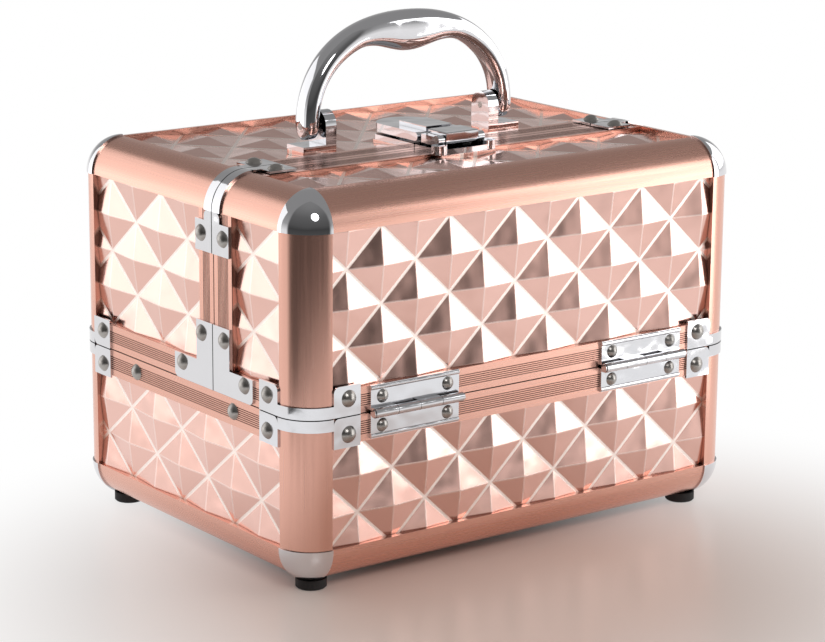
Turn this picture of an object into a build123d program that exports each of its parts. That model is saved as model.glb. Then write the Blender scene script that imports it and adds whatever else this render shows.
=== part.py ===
from build123d import *
import os
from math import asin, atan2, degrees

# A small train case for make-up: an aluminium-framed box whose two lids are hinged half-way up the long
# faces and part along the top. Two trays ride out with the lids on swinging arms.
# Frame: X along the length, -Y the front face, Z up, origin on the ground under the middle of the case.

# Driving dimensions, in millimetres ---------------------------------------------------------------
LENGTH = 240.0  # over the end faces
WIDTH = 179.0  # over the front and back faces
FOOT_HEIGHT = 4.3  # ground to the underside of the case
TOP_Z = 170.6  # ground to the top face
SEAM_Z = 77.0  # where the lids part from the base
SPLIT_Y = -25.0  # where the two lids part from each other
SEAM_GAP = 0.5  # lids to base
SPLIT_GAP = 0.6  # lid to lid

EDGE_R = 15.8  # outer radius of the rounded edge extrusions, and their visible leg
WALL = 1.3  # wall of every extrusion
FACE_DEPTH = 2.9  # extrusion face back to the low plane of a panel
BOARD = 3.1  # panel board
PYRAMID_H = 1.9  # embossed pyramids above the low plane
PYRAMID_TIP = 0.5  # half-width of the blunted tips
GROOVE = 1.0  # flat line between two pyramids
TUCK = 3.8  # how far a board slides into an extrusion
CHANNEL_PLAY = 0.2  # board edge to the bottom of its channel
LINING = 1.2  # lining card, flush with the extrusions' inner wall
BASE_RIM = 11.9  # ribbed rim of the base, height
LID_RIM = 11.0  # ribbed rim of a lid, height
SPLIT_END_W = {"front": 13.5, "back": 11.0}  # ribbed upright beside the parting line
SPLIT_TOP_W = 13.5  # ribbed bar beside the parting line on top
SPLIT_RECESS = 0.4  # that bar lies this much below the top face
RIB_MARGIN = 3.0  # plain band before the first groove of a ribbed face
RIB_PITCH = 0.9
RIB_WIDTH = 0.45
RIB_DEPTH = 0.35
RIB_END_BAND = 2.6  # plain band after the last groove

PITCH_X = 35.4  # pyramid diagonal along X
PITCH_Y = 41.7  # pyramid diagonal along Y
PITCH_Z = 33.1  # pyramid diagonal along Z
TOP_STAR = (0.0, -49.0)  # a place where pyramid corners meet, on top
BASE_FACE_STAR = (-71.95, 50.0)  # the same on each upright face, along it and up from the ground
BASE_END_STAR = (48.1, 52.25)
LID_FACE_STAR = (-95.5, 138.1)
LID_END_STAR = {"front": (-50.75, 140.8), "back": (62.7, 154.4)}

SHEET = 0.9  # pressed chrome brackets
CAP_PROUD = 0.7  # corner caps stand this much proud of the extrusions
CAP_WALL = 1.5
BAND_H = 5.0  # seam bracket: band round the upright
TAB_W = 13.5  # seam bracket: tab beside the upright
TAB_H = 13.0
TAB_FILLET = 2.6
RIVET_R = 3.7
RIVET_H = 2.1
RIVET_SHANK_R = 1.6
RIVET_HOLE_R = 1.65

STRAP_TAB_L = 18.0  # split strap: bend to the end of a tab
STRAP_TAB_W = 12.5
STRAP_BAND_W = 5.6
STRAP_NECK = 4.5  # bend to where a tab widens
STRAP_RIVET_Y = 8.1
STRAP_RIVET_END = 7.6  # rivet to the end of its tab
ELL_W = 12.5  # L bracket: width of its upright leg
ELL_UP = 29.0
ELL_ALONG = 30.0
ELL_RIVETS = ((8.4, 23.5), (23.8, 7.4))  # along the rim, up from the lid's lower edge

HINGE_X = 62.7  # middle of a hinge
HINGE_L = 46.0
HINGE_LEAF_H = 11.4  # seam to the outer edge of a leaf
HINGE_LIP_R = 1.1  # rolled outer edge
HINGE_SHEET = 1.2
HINGE_OUT = 3.5  # axis outside the face
KNUCKLE_R = 2.1
KNUCKLES = 4
KNUCKLE_GAP = 0.2
PIN_R = 1.0
PIN_PLAY = 0.05
PIN_HEAD = 0.6
HINGE_RIVET_SPAN = 34.0
HINGE_RIVET_Z = 6.3
HINGE_RIVET_R = 3.0

FOOT_R = 6.7

HANDLE_Y = 1.7
HANDLE_OUT_X = 57.5  # outside of a leg
HANDLE_LEG = 8.0
HANDLE_DEPTH = 12.6
HANDLE_TOP = 229.4
PIVOT_H = 10.4  # handle axis above its seat
BRACKET_PLATE = 2.1
EAR_X = 42.5  # inner face of an ear
EAR_W = 5.6
EAR_R = 6.4
HANDLE_PIN_R = 1.5
HANDLE_SHOULDER_IN = 9.5  # outside of a leg to the middle of the shoulder's curve
HANDLE_SHOULDER_DROP = 10.4  # top of the handle to that point
HANDLE_DIP_X = 26.0  # middle of the grip to a dip
HANDLE_DIP_T = 10.5  # grip thickness at a dip
HANDLE_GRIP_T = 17.0  # grip thickness in the middle
HANDLE_ROUND = 3.0
PLATE_PAST_LEG = 2.5  # bracket plate beyond the outside of a leg

LATCH_W = 30.0  # base plate and keeper, along X
LATCH_PLATE = 2.3
LATCH_BACK_Y = 6.0
LEVER_W = 26.0
LEVER_T = 3.8
LEVER_LIFT = 3.1  # lever's underside above the seat
LEVER_TAIL_Y = 14.5
LEVER_PIVOT_Y = -22.6
STRIP_W = 14.6
STRIP_T = 2.1
STRIP_Y = (-23.3, -3.5)
LUG_W = 10.0
CLAW_W = 17.7
CLAW_Y = (-40.1, -27.0)
CLAW_LIFT = 2.9
CLAW_TOP = 8.8
CLAW_PIVOT_Y = -37.6
CLAW_PIVOT_H = 5.3
KEEPER_FRONT_Y = -43.0
KEEPER_BOW = 1.6
POST_R = 3.5
POST_X = 13.4
POST_Y = -41.0
POST_H = 3.9
CHEEK_X = (9.3, 12.7)
LATCH_PLAY = 0.06
LEVER_TAIL_BOW = 9.0
LEVER_PIN_L = 22.0
SLOT_PLAY = 0.4
SLOT_BACK = 1.4
RAIL = 1.8

TRAY_SIDE_GAP = 6.8  # lining to the end of a tray
TRAY_OUTER_GAP = 6.3  # lining of the long face to a tray
TRAY_INNER_Y = 1.5  # middle of the case to a tray
TRAY_ABOVE_SEAM = 13.0
TRAY_H = 38.0
TRAY_WALL = 1.6
TRAY_CORNER_R = 5.0
DIVIDER = 1.2
ARM_BASE_Y = 39.0  # arm pivot on the base, from the middle
ARM_BELOW_SEAM = 6.0
CRANK = (29.0, 24.0)  # hinge axis to tray pivot on the lid, and base pivot to tray pivot on the arm
ARM_PAST_TRAY = 1.4  # end of a tray to an arm
ARM_T = 1.5
ARM_W = 9.0
STUD_R = 2.0
STUD_HEAD_R = 3.2
STUD_HEAD = 0.8
STUD_PLAY = 0.06
FREE_STUD_R = 1.7
COLLAR_GAP = 0.3
END_CELL = 36.0  # end of a tray to its last cross divider
DIVIDER_BELOW_RIM = 3.0

# Worked out from them ------------------------------------------------------------------------------
HALF_X = LENGTH / 2
HALF_Y = WIDTH / 2
BASE_Z = FOOT_HEIGHT
BASE_TOP = SEAM_Z - SEAM_GAP / 2
LID_BOTTOM = SEAM_Z + SEAM_GAP / 2
BOARD_IN = FACE_DEPTH + BOARD  # face to the inner side of a board
INNER = BOARD_IN + LINING  # face to the lining, inside the case
POST_IN_X = HALF_X - EDGE_R
POST_IN_Y = HALF_Y - EDGE_R
BASE_RIM_Z = BASE_TOP - BASE_RIM
LID_RIM_Z = LID_BOTTOM + LID_RIM
EDGE_LOW_Z = BASE_Z + EDGE_R
EDGE_TOP_Z = TOP_Z - EDGE_R
SEAT_Z = TOP_Z - SPLIT_RECESS  # what stands on top sits at this height
HINGE_Y = HALF_Y + HINGE_OUT
LEVER_PIVOT_Z = SEAT_Z + LEVER_LIFT + LEVER_T / 2
LEVER_NOSE_R = LEVER_T / 2
HANDLE_PIVOT_Z = SEAT_Z + PIVOT_H
TRAY_X = HALF_X - INNER - TRAY_SIDE_GAP
TRAY_Y = (TRAY_INNER_Y, HALF_Y - INNER - TRAY_OUTER_GAP)  # from the middle of the case outwards
TRAY_Z = (SEAM_Z + TRAY_ABOVE_SEAM, SEAM_Z + TRAY_ABOVE_SEAM + TRAY_H)
ARM_X = TRAY_X + ARM_PAST_TRAY  # inner face of an arm
ARM_BASE_Z = SEAM_Z - ARM_BELOW_SEAM
DIVIDER_END_X = TRAY_X - END_CELL

os.makedirs("parts", exist_ok=True)


def slab(xs, ys, zs, mode=Mode.ADD):
    """Box between two values on each axis, given in either order."""
    middle = [(a + b) / 2 for a, b in (xs, ys, zs)]
    with Locations(tuple(middle)):
        Box(*[abs(b - a) for a, b in (xs, ys, zs)], mode=mode)


def bar2d(us, vs, mode=Mode.ADD):
    """Rectangle between two values on each axis of the sketch."""
    with Locations(((us[0] + us[1]) / 2, (vs[0] + vs[1]) / 2)):
        Rectangle(abs(us[1] - us[0]), abs(vs[1] - vs[0]), mode=mode)


def edge_section():
    """Section of the rounded edge extrusion, its outer corner at the origin and the case towards +x, +y.

    A quarter-round wall, with a channel at each end that holds the edge of a board.
    """
    web = EDGE_R - TUCK - CHANNEL_PLAY
    with BuildSketch() as section:
        with Locations((EDGE_R, EDGE_R)):
            Circle(EDGE_R)
            Circle(EDGE_R - WALL, mode=Mode.SUBTRACT)
        bar2d((0, EDGE_R), (0, EDGE_R), mode=Mode.INTERSECT)
        bar2d((WALL / 2, FACE_DEPTH), (EDGE_R - WALL, EDGE_R))
        bar2d((EDGE_R - WALL, EDGE_R), (WALL / 2, FACE_DEPTH))
        bar2d((WALL, INNER), (web - WALL, web))
        bar2d((web - WALL, web), (WALL, INNER))
        bar2d((BOARD_IN, INNER), (BOARD_IN, EDGE_R))
        bar2d((BOARD_IN, EDGE_R), (BOARD_IN, INNER))
    return section.sketch


def ribbed_section(width, sunk=0.0):
    """Section of a ribbed flat extrusion: x is the depth behind its face, y runs from its free edge.

    A bar whose face is sunk below its neighbours' still holds the board at their depth.
    """
    web = width - TUCK - CHANNEL_PLAY
    ribs = int((width - RIB_MARGIN - RIB_END_BAND - RIB_WIDTH) / RIB_PITCH) + 1
    with BuildSketch() as section:
        bar2d((0, INNER - sunk), (0, WALL))
        bar2d((0, WALL), (0, width))
        bar2d((0, FACE_DEPTH - sunk), (width - WALL, width))
        bar2d((0, INNER - sunk), (web - WALL, web))
        bar2d((BOARD_IN - sunk, INNER - sunk), (0, width))
        for rib in range(ribs):
            start = RIB_MARGIN + rib * RIB_PITCH
            bar2d((0, RIB_DEPTH), (start, start + RIB_WIDTH), mode=Mode.SUBTRACT)
    return section.sketch


def run_plane(origin, depth_dir, width_dir):
    """Plane whose x axis is depth_dir and whose y axis is width_dir."""
    return Plane(origin=origin, x_dir=depth_dir, z_dir=Vector(*depth_dir).cross(Vector(*width_dir)))


def run(section, origin, depth_dir, width_dir, length_dir, length):
    """Extrude a section from origin along length_dir."""
    plane = run_plane(origin, depth_dir, width_dir)
    along = 1 if plane.z_dir.dot(Vector(*length_dir)) > 0 else -1
    with BuildSketch(plane) as profile:
        add(section)
    extrude(profile.sketch, amount=along * length)


def lattice(star, pitch_s, pitch_t, window):
    """Apexes of the pyramids whose corners meet at the point star, over and just round a window."""
    (s0, s1), (t0, t1) = window
    apexes = []
    for i in range(-20, 21):
        for j in range(-20, 21):
            s = star[0] + i * pitch_s / 2
            t = star[1] + j * pitch_t / 2
            near = s0 - pitch_s / 2 < s < s1 + pitch_s / 2 and t0 - pitch_t / 2 < t < t1 + pitch_t / 2
            if (i + j) % 2 and near:
                apexes.append((s, t))
    return apexes


def pyramid(pitch_s, pitch_t):
    """One blunt pyramid on a rhombus, its ridges along the two diagonals."""
    shrink = 1 - GROOVE * (pitch_s**2 + pitch_t**2) ** 0.5 / (pitch_s * pitch_t)
    tip = PYRAMID_TIP / max(pitch_s, pitch_t)
    with BuildPart() as relief:
        with BuildSketch():
            Polygon(*rhombus(pitch_s * shrink / 2, pitch_t * shrink / 2))
        with BuildSketch(Plane.XY.offset(PYRAMID_H)):
            Polygon(*rhombus(pitch_s * tip, pitch_t * tip))
        loft(ruled=True)
    return relief.part


def rhombus(a, b):
    """Corners of a rhombus with half diagonals a and b."""
    return [(a, 0), (0, b), (-a, 0), (0, -b)]


def embossed_panel(plane, board, window, star, pitch_s, pitch_t, pads=()):
    """Board with pyramids in its window. The plane is the low plane, its z axis points out of the case.

    Pads are flat places (s range, t range, height) under the hardware that stands on the panel.
    """
    apexes = lattice(star, pitch_s, pitch_t, window)
    one = pyramid(pitch_s, pitch_t)
    (s0, s1), (t0, t1) = window
    middle = ((s0 + s1) / 2, (t0 + t1) / 2)
    with BuildPart() as relief:
        with Locations(*[plane.location * Location((s, t, 0)) for s, t in apexes]):
            add(one)
        with BuildSketch(plane):
            with Locations(middle):
                Rectangle(s1 - s0, t1 - t0)
        extrude(amount=PYRAMID_H, mode=Mode.INTERSECT)
        for pad_s, pad_t, pad_h in pads:
            with BuildSketch(plane):
                bar2d(pad_s, pad_t)
            extrude(amount=pad_h)
    with BuildPart() as panel:
        with BuildSketch(plane):
            bar2d(*board)
        extrude(amount=-BOARD)
        add(relief.part)
    return panel.part


def grown(window, by=(TUCK, TUCK, TUCK, TUCK)):
    """A window's board: the window and what is tucked into the extrusions round it."""
    (s0, s1), (t0, t1) = window
    return (s0 - by[0], s1 + by[1]), (t0 - by[2], t1 + by[3])


def cap_corner(x_sign, y_sign, z_sign, centre_z):
    """Chrome corner cap: an eighth of a ball that closes three extrusions."""
    centre = (x_sign * POST_IN_X, y_sign * POST_IN_Y, centre_z)
    outer = EDGE_R + CAP_PROUD
    with BuildPart() as cap:
        with Locations(centre):
            Sphere(outer)
            Sphere(EDGE_R - CAP_WALL, mode=Mode.SUBTRACT)
        slab(
            (centre[0], centre[0] + x_sign * outer),
            (centre[1], centre[1] + y_sign * outer),
            (centre[2], centre[2] + z_sign * outer),
            mode=Mode.INTERSECT,
        )
    return cap.part


def seam_bracket(x_sign, y_sign, edge_z, z_sign):
    """Chrome bracket at a corner of the seam: a band round the upright and a tab on each face."""
    outer_x = x_sign * HALF_X
    outer_y = y_sign * HALF_Y
    with BuildPart() as bracket:
        with BuildSketch(Plane.XY.offset(edge_z)):
            with Locations((x_sign * POST_IN_X, y_sign * POST_IN_Y)):
                Circle(EDGE_R + SHEET)
                Circle(EDGE_R, mode=Mode.SUBTRACT)
            far = EDGE_R + SHEET
            bar2d(
                (x_sign * POST_IN_X, x_sign * (POST_IN_X + far)),
                (y_sign * POST_IN_Y, y_sign * (POST_IN_Y + far)),
                mode=Mode.INTERSECT,
            )
        extrude(amount=z_sign * BAND_H)
        for origin, away, out in (
            ((x_sign * POST_IN_X, outer_y, edge_z), (-x_sign, 0, 0), (0, y_sign, 0)),
            ((outer_x, y_sign * POST_IN_Y, edge_z), (0, -y_sign, 0), (x_sign, 0, 0)),
        ):
            face = run_plane(origin, away, (0, 0, z_sign))
            with BuildSketch(face) as tab:
                bar2d((0, TAB_W), (0, TAB_H))
                fillet(tab.vertices().sort_by_distance(face.from_local_coords((0, 0, 0)))[-1], TAB_FILLET)
            extrude(tab.sketch, amount=SHEET if face.z_dir.dot(Vector(*out)) > 0 else -SHEET)
        rivet_holes(seam_rivets(x_sign, y_sign, edge_z, z_sign, on=0.0))
    return bracket.part


def seam_rivets(x_sign, y_sign, edge_z, z_sign, on=SHEET):
    """Places and outward directions of a seam bracket's two rivets."""
    inset = EDGE_R + TAB_W * 0.56
    height = edge_z + z_sign * TAB_H * 0.57
    return [
        ((x_sign * (HALF_X - inset), y_sign * (HALF_Y + on), height), (0, y_sign, 0)),
        ((x_sign * (HALF_X + on), y_sign * (HALF_Y - inset), height), (x_sign, 0, 0)),
    ]


def rivet_holes(places):
    """Clear the rivet shanks out of the bracket being built."""
    for place, out in places:
        with Locations(Plane(origin=place, z_dir=out).location):
            Cylinder(RIVET_HOLE_R, 4 * SHEET, mode=Mode.SUBTRACT)


def dome_rivet(radius, sheet):
    """Dome rivet standing on the origin, with a shank down through the sheet under it."""
    height = RIVET_H * radius / RIVET_R
    with BuildPart() as one:
        with BuildSketch(Plane.XZ):
            with BuildLine():
                ball_r = (radius**2 + height**2) / (2 * height)
                dome = JernArc((0, height), (1, 0), ball_r, -degrees(asin(radius / ball_r)))
                Polyline(dome @ 0, (0, -sheet), (RIVET_SHANK_R, -sheet), (RIVET_SHANK_R, 0), dome @ 1)
            make_face()
        revolve(axis=Axis.Z)
    return one.part


def rivets(*groups):
    """Dome rivets on groups of places, each group with its head radius and the sheet it goes through."""
    with BuildPart() as heads:
        for places, radius, sheet in groups:
            with Locations(*[Plane(origin=place, z_dir=out).location for place, out in places]):
                add(dome_rivet(radius, sheet))
    return heads


def hand_over(builder, node):
    """Label a finished sub-part and write it."""
    builder.part.label = node
    export_step(builder.part, f"parts/{node}.step")


# Base ----------------------------------------------------------------------------------------------
edge = edge_section()
base_rim = ribbed_section(BASE_RIM)
lid_rim = ribbed_section(LID_RIM)

with BuildPart() as base_posts:
    run(edge, (HALF_X, HALF_Y, EDGE_LOW_Z), (-1, 0, 0), (0, -1, 0), (0, 0, 1), BASE_TOP - EDGE_LOW_Z)
    mirror(about=Plane.YZ)
    mirror(about=Plane.XZ)
hand_over(base_posts, "base_corner_posts")

with BuildPart() as base_edges:
    run(edge, (-POST_IN_X, HALF_Y, BASE_Z), (0, -1, 0), (0, 0, 1), (1, 0, 0), 2 * POST_IN_X)
    mirror(about=Plane.XZ)
    run(edge, (HALF_X, -POST_IN_Y, BASE_Z), (-1, 0, 0), (0, 0, 1), (0, 1, 0), 2 * POST_IN_Y)
    run(edge, (-HALF_X, -POST_IN_Y, BASE_Z), (1, 0, 0), (0, 0, 1), (0, 1, 0), 2 * POST_IN_Y)
hand_over(base_edges, "base_edge_profiles")

arm_places = [
    ((x * HALF_X, y * ARM_BASE_Y, ARM_BASE_Z), (x, 0, 0)) for x in (-1, 1) for y in (-1, 1)
]
with BuildPart() as base_rims:
    run(base_rim, (-POST_IN_X, HALF_Y, BASE_TOP), (0, -1, 0), (0, 0, -1), (1, 0, 0), 2 * POST_IN_X)
    mirror(about=Plane.XZ)
    run(base_rim, (HALF_X, -POST_IN_Y, BASE_TOP), (-1, 0, 0), (0, 0, -1), (0, 1, 0), 2 * POST_IN_Y)
    run(base_rim, (-HALF_X, -POST_IN_Y, BASE_TOP), (1, 0, 0), (0, 0, -1), (0, 1, 0), 2 * POST_IN_Y)
    rivet_holes(arm_places)
hand_over(base_rims, "base_rims")

base_face = ((-POST_IN_X, POST_IN_X), (EDGE_LOW_Z, BASE_RIM_Z))
base_end = ((-POST_IN_Y, POST_IN_Y), (EDGE_LOW_Z, BASE_RIM_Z))
for node, y_sign in (("base_front_panel", -1), ("base_back_panel", 1)):
    plane = Plane((0, y_sign * (HALF_Y - FACE_DEPTH), 0), (-y_sign, 0, 0), (0, y_sign, 0))
    with BuildPart() as panel:
        add(embossed_panel(plane, grown(base_face), base_face, BASE_FACE_STAR, PITCH_X, PITCH_Z))
    hand_over(panel, node)

with BuildPart() as base_ends:
    for x_sign in (-1, 1):
        plane = Plane((x_sign * (HALF_X - FACE_DEPTH), 0, 0), (0, x_sign, 0), (x_sign, 0, 0))
        star = (x_sign * BASE_END_STAR[0], BASE_END_STAR[1])
        add(embossed_panel(plane, grown(base_end), base_end, star, PITCH_Y, PITCH_Z))
hand_over(base_ends, "base_end_panels")

with BuildPart() as base_floor:
    slab(
        (-POST_IN_X - TUCK, POST_IN_X + TUCK),
        (-POST_IN_Y - TUCK, POST_IN_Y + TUCK),
        (BASE_Z + FACE_DEPTH, BASE_Z + BOARD_IN),
    )
hand_over(base_floor, "base_floor_board")

with BuildPart() as base_lining:
    lining_z = (EDGE_LOW_Z, BASE_RIM_Z)
    for side in (-1, 1):
        slab((-POST_IN_X, POST_IN_X), (side * (HALF_Y - BOARD_IN), side * (HALF_Y - INNER)), lining_z)
        slab((side * (HALF_X - BOARD_IN), side * (HALF_X - INNER)), (-POST_IN_Y, POST_IN_Y), lining_z)
    slab((-POST_IN_X, POST_IN_X), (-POST_IN_Y, POST_IN_Y), (BASE_Z + BOARD_IN, BASE_Z + INNER))
hand_over(base_lining, "base_linings")

with BuildPart() as base_caps:
    add(cap_corner(1, 1, -1, EDGE_LOW_Z))
    mirror(about=Plane.YZ)
    mirror(about=Plane.XZ)
hand_over(base_caps, "base_corner_caps")

with BuildPart() as feet:
    with Locations((POST_IN_X, POST_IN_Y, 0)):
        Cylinder(FOOT_R, BASE_Z, align=(Align.CENTER, Align.CENTER, Align.MIN))
    chamfer(feet.edges().group_by(Axis.Z)[0], length=0.6)
    with Locations((POST_IN_X, POST_IN_Y, EDGE_LOW_Z)):
        Sphere(EDGE_R + CAP_PROUD, mode=Mode.SUBTRACT)
    mirror(about=Plane.YZ)
    mirror(about=Plane.XZ)
hand_over(feet, "feet")

with BuildPart() as base_brackets:
    add(seam_bracket(1, 1, BASE_TOP, -1))
    mirror(about=Plane.YZ)
    mirror(about=Plane.XZ)
hand_over(base_brackets, "base_seam_brackets")


def knuckle_spans(odd):
    """X ranges of one leaf's knuckles in a hinge whose middle is at HINGE_X."""
    pitch = HINGE_L / KNUCKLES
    start = HINGE_X - HINGE_L / 2
    turns = range(1, KNUCKLES, 2) if odd else range(0, KNUCKLES, 2)
    return [(start + k * pitch + KNUCKLE_GAP / 2, start + (k + 1) * pitch - KNUCKLE_GAP / 2) for k in turns]


def hinge_leaf(y_sign, z_sign, odd):
    """Leaf of one hinge: a plate on the face, a rolled outer lip, and knuckles carried out to the axis."""
    face = y_sign * HALF_Y
    axis_y = y_sign * HINGE_Y
    low = KNUCKLE_R - HINGE_SHEET
    span = (HINGE_X - HINGE_L / 2, HINGE_X + HINGE_L / 2)
    with BuildPart() as leaf:
        plate_z = (SEAM_Z + z_sign * low, SEAM_Z + z_sign * HINGE_LEAF_H)
        slab(span, (face, face + y_sign * HINGE_SHEET), plate_z)
        lip = Plane((span[0], face, SEAM_Z + z_sign * (HINGE_LEAF_H - HINGE_LIP_R)), (0, 1, 0), (1, 0, 0))
        with BuildSketch(lip):
            with Locations((y_sign * HINGE_SHEET / 2, 0)):
                Circle(HINGE_LIP_R)
            reach = 2 * HINGE_SHEET
            bar2d((0, y_sign * reach), (-reach, reach), mode=Mode.INTERSECT)
        extrude(amount=HINGE_L)
        for start, end in knuckle_spans(odd):
            with BuildSketch(Plane((start, axis_y, SEAM_Z), (0, 1, 0), (1, 0, 0))):
                Circle(KNUCKLE_R)
            extrude(amount=end - start)
            slab((start, end), (face, axis_y), (SEAM_Z + z_sign * low, SEAM_Z + z_sign * KNUCKLE_R))
        with Locations(Plane((HINGE_X, axis_y, SEAM_Z), (0, 1, 0), (1, 0, 0)).location):
            Cylinder(PIN_R + PIN_PLAY, HINGE_L + 1, mode=Mode.SUBTRACT)
        rivet_holes(hinge_rivets(1, y_sign, z_sign, on=HINGE_SHEET))
    return leaf.part


def hinge_rivets(x_sign, y_sign, z_sign, on=HINGE_SHEET):
    """Places and outward directions of the two rivets of one leaf."""
    height = SEAM_Z + z_sign * HINGE_RIVET_Z
    return [
        ((x_sign * (HINGE_X + side * HINGE_RIVET_SPAN / 2), y_sign * (HALF_Y + on), height), (0, y_sign, 0))
        for side in (-1, 1)
    ]


with BuildPart() as base_leaves:
    add(hinge_leaf(1, -1, odd=False))
    mirror(about=Plane.YZ)
    mirror(about=Plane.XZ)
hand_over(base_leaves, "base_hinge_leaves")

with BuildPart() as hinge_pins:
    with Locations(Plane((HINGE_X, HINGE_Y, SEAM_Z), (0, 1, 0), (1, 0, 0)).location):
        Cylinder(PIN_R, HINGE_L)
        for end in (-1, 1):
            with Locations((0, 0, end * (HINGE_L + PIN_HEAD) / 2)):
                Cylinder(KNUCKLE_R * 0.8, PIN_HEAD)
    mirror(about=Plane.YZ)
    mirror(about=Plane.XZ)
hand_over(hinge_pins, "hinge_pins")

corner_places = []
hinge_places = []
for x_sign in (-1, 1):
    for y_sign in (-1, 1):
        corner_places += seam_rivets(x_sign, y_sign, BASE_TOP, -1)
        hinge_places += hinge_rivets(x_sign, y_sign, -1)
base_rivets = rivets(
    (corner_places, RIVET_R, SHEET), (hinge_places, HINGE_RIVET_R, HINGE_SHEET), (arm_places, RIVET_R, WALL)
)
hand_over(base_rivets, "base_rivets")

with BuildPart() as arm_studs:
    with Locations(Plane((HALF_X - INNER, ARM_BASE_Y, ARM_BASE_Z), (0, 1, 0), (-1, 0, 0)).location):
        stem = HALF_X - INNER - ARM_X
        Cylinder(STUD_R, stem, align=(Align.CENTER, Align.CENTER, Align.MIN))
        Cylinder(STUD_HEAD_R, stem - ARM_T - STUD_PLAY, align=(Align.CENTER, Align.CENTER, Align.MIN))
        with Locations((0, 0, stem + STUD_PLAY)):
            Cylinder(STUD_HEAD_R, STUD_HEAD, align=(Align.CENTER, Align.CENTER, Align.MIN))
            Cylinder(STUD_R, 2 * STUD_PLAY)
    mirror(about=Plane.YZ)
    mirror(about=Plane.XZ)
hand_over(arm_studs, "base_arm_studs")


# Lids ----------------------------------------------------------------------------------------------
def strap_half(x_sign, y_sign, split):
    """Half of a chrome strap that bends over the top edge beside the parting line, a tab at each end."""
    away = y_sign * STRAP_TAB_W
    bend = (x_sign * POST_IN_X, 0, EDGE_TOP_Z)
    with BuildPart() as strap:
        with BuildSketch(Plane((0, split, 0), (1, 0, 0), (0, -1, 0))) as hoop:
            with Locations((bend[0], bend[2])):
                Circle(EDGE_R + SHEET)
                Circle(EDGE_R, mode=Mode.SUBTRACT)
            reach = EDGE_R + SHEET
            bar2d((bend[0], bend[0] + x_sign * reach), (bend[2], bend[2] + reach), mode=Mode.INTERSECT)
        extrude(hoop.sketch, amount=-y_sign * STRAP_BAND_W)
        for origin, down, out in (
            ((x_sign * HALF_X, split, EDGE_TOP_Z), (0, 0, -1), (x_sign, 0, 0)),
            ((bend[0], split, TOP_Z), (-x_sign, 0, 0), (0, 0, 1)),
        ):
            face = run_plane(origin, down, (0, y_sign, 0))
            with BuildSketch(face) as tab:
                bar2d((0, STRAP_TAB_L), (0, STRAP_BAND_W))
                bar2d((STRAP_NECK, STRAP_TAB_L), (0, STRAP_TAB_W))
                outer = tab.vertices().sort_by_distance(origin)
                fillet(outer[-1], TAB_FILLET)
            extrude(tab.sketch, amount=SHEET if face.z_dir.dot(Vector(*out)) > 0 else -SHEET)
        rivet_holes(strap_rivets(x_sign, y_sign, split, on=0.0))
    return strap.part


def strap_rivets(x_sign, y_sign, split, on=SHEET):
    """Places and outward directions of a strap half's two rivets."""
    across = split + y_sign * STRAP_RIVET_Y
    along = STRAP_TAB_L - STRAP_RIVET_END
    return [
        ((x_sign * (HALF_X + on), across, EDGE_TOP_Z - along), (x_sign, 0, 0)),
        ((x_sign * (POST_IN_X - along), across, TOP_Z + on), (0, 0, 1)),
    ]


def foot_bracket(x_sign, y_sign, split):
    """Chrome L bracket on the end face, where the upright beside the parting line meets the lid's rim."""
    face = run_plane((x_sign * HALF_X, split, LID_BOTTOM), (0, y_sign, 0), (0, 0, 1))
    out = SHEET if face.z_dir.dot(Vector(x_sign, 0, 0)) > 0 else -SHEET
    with BuildPart() as bracket:
        with BuildSketch(face) as shape:
            bar2d((0, ELL_W), (0, ELL_UP))
            bar2d((0, ELL_ALONG), (0, LID_RIM))
            ends = shape.vertices()
            tip = face.from_local_coords((ELL_ALONG, LID_RIM, 0))
            top = face.from_local_coords((ELL_W, ELL_UP, 0))
            fillet([ends.sort_by_distance(tip)[0], ends.sort_by_distance(top)[0]], TAB_FILLET)
        extrude(shape.sketch, amount=out)
        rivet_holes(foot_rivets(x_sign, y_sign, split, on=0.0))
    return bracket.part


def foot_rivets(x_sign, y_sign, split, on=SHEET):
    """Places and outward directions of an L bracket's two rivets."""
    return [
        ((x_sign * (HALF_X + on), split + y_sign * s, LID_BOTTOM + t), (x_sign, 0, 0))
        for s, t in ELL_RIVETS
    ]


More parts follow.
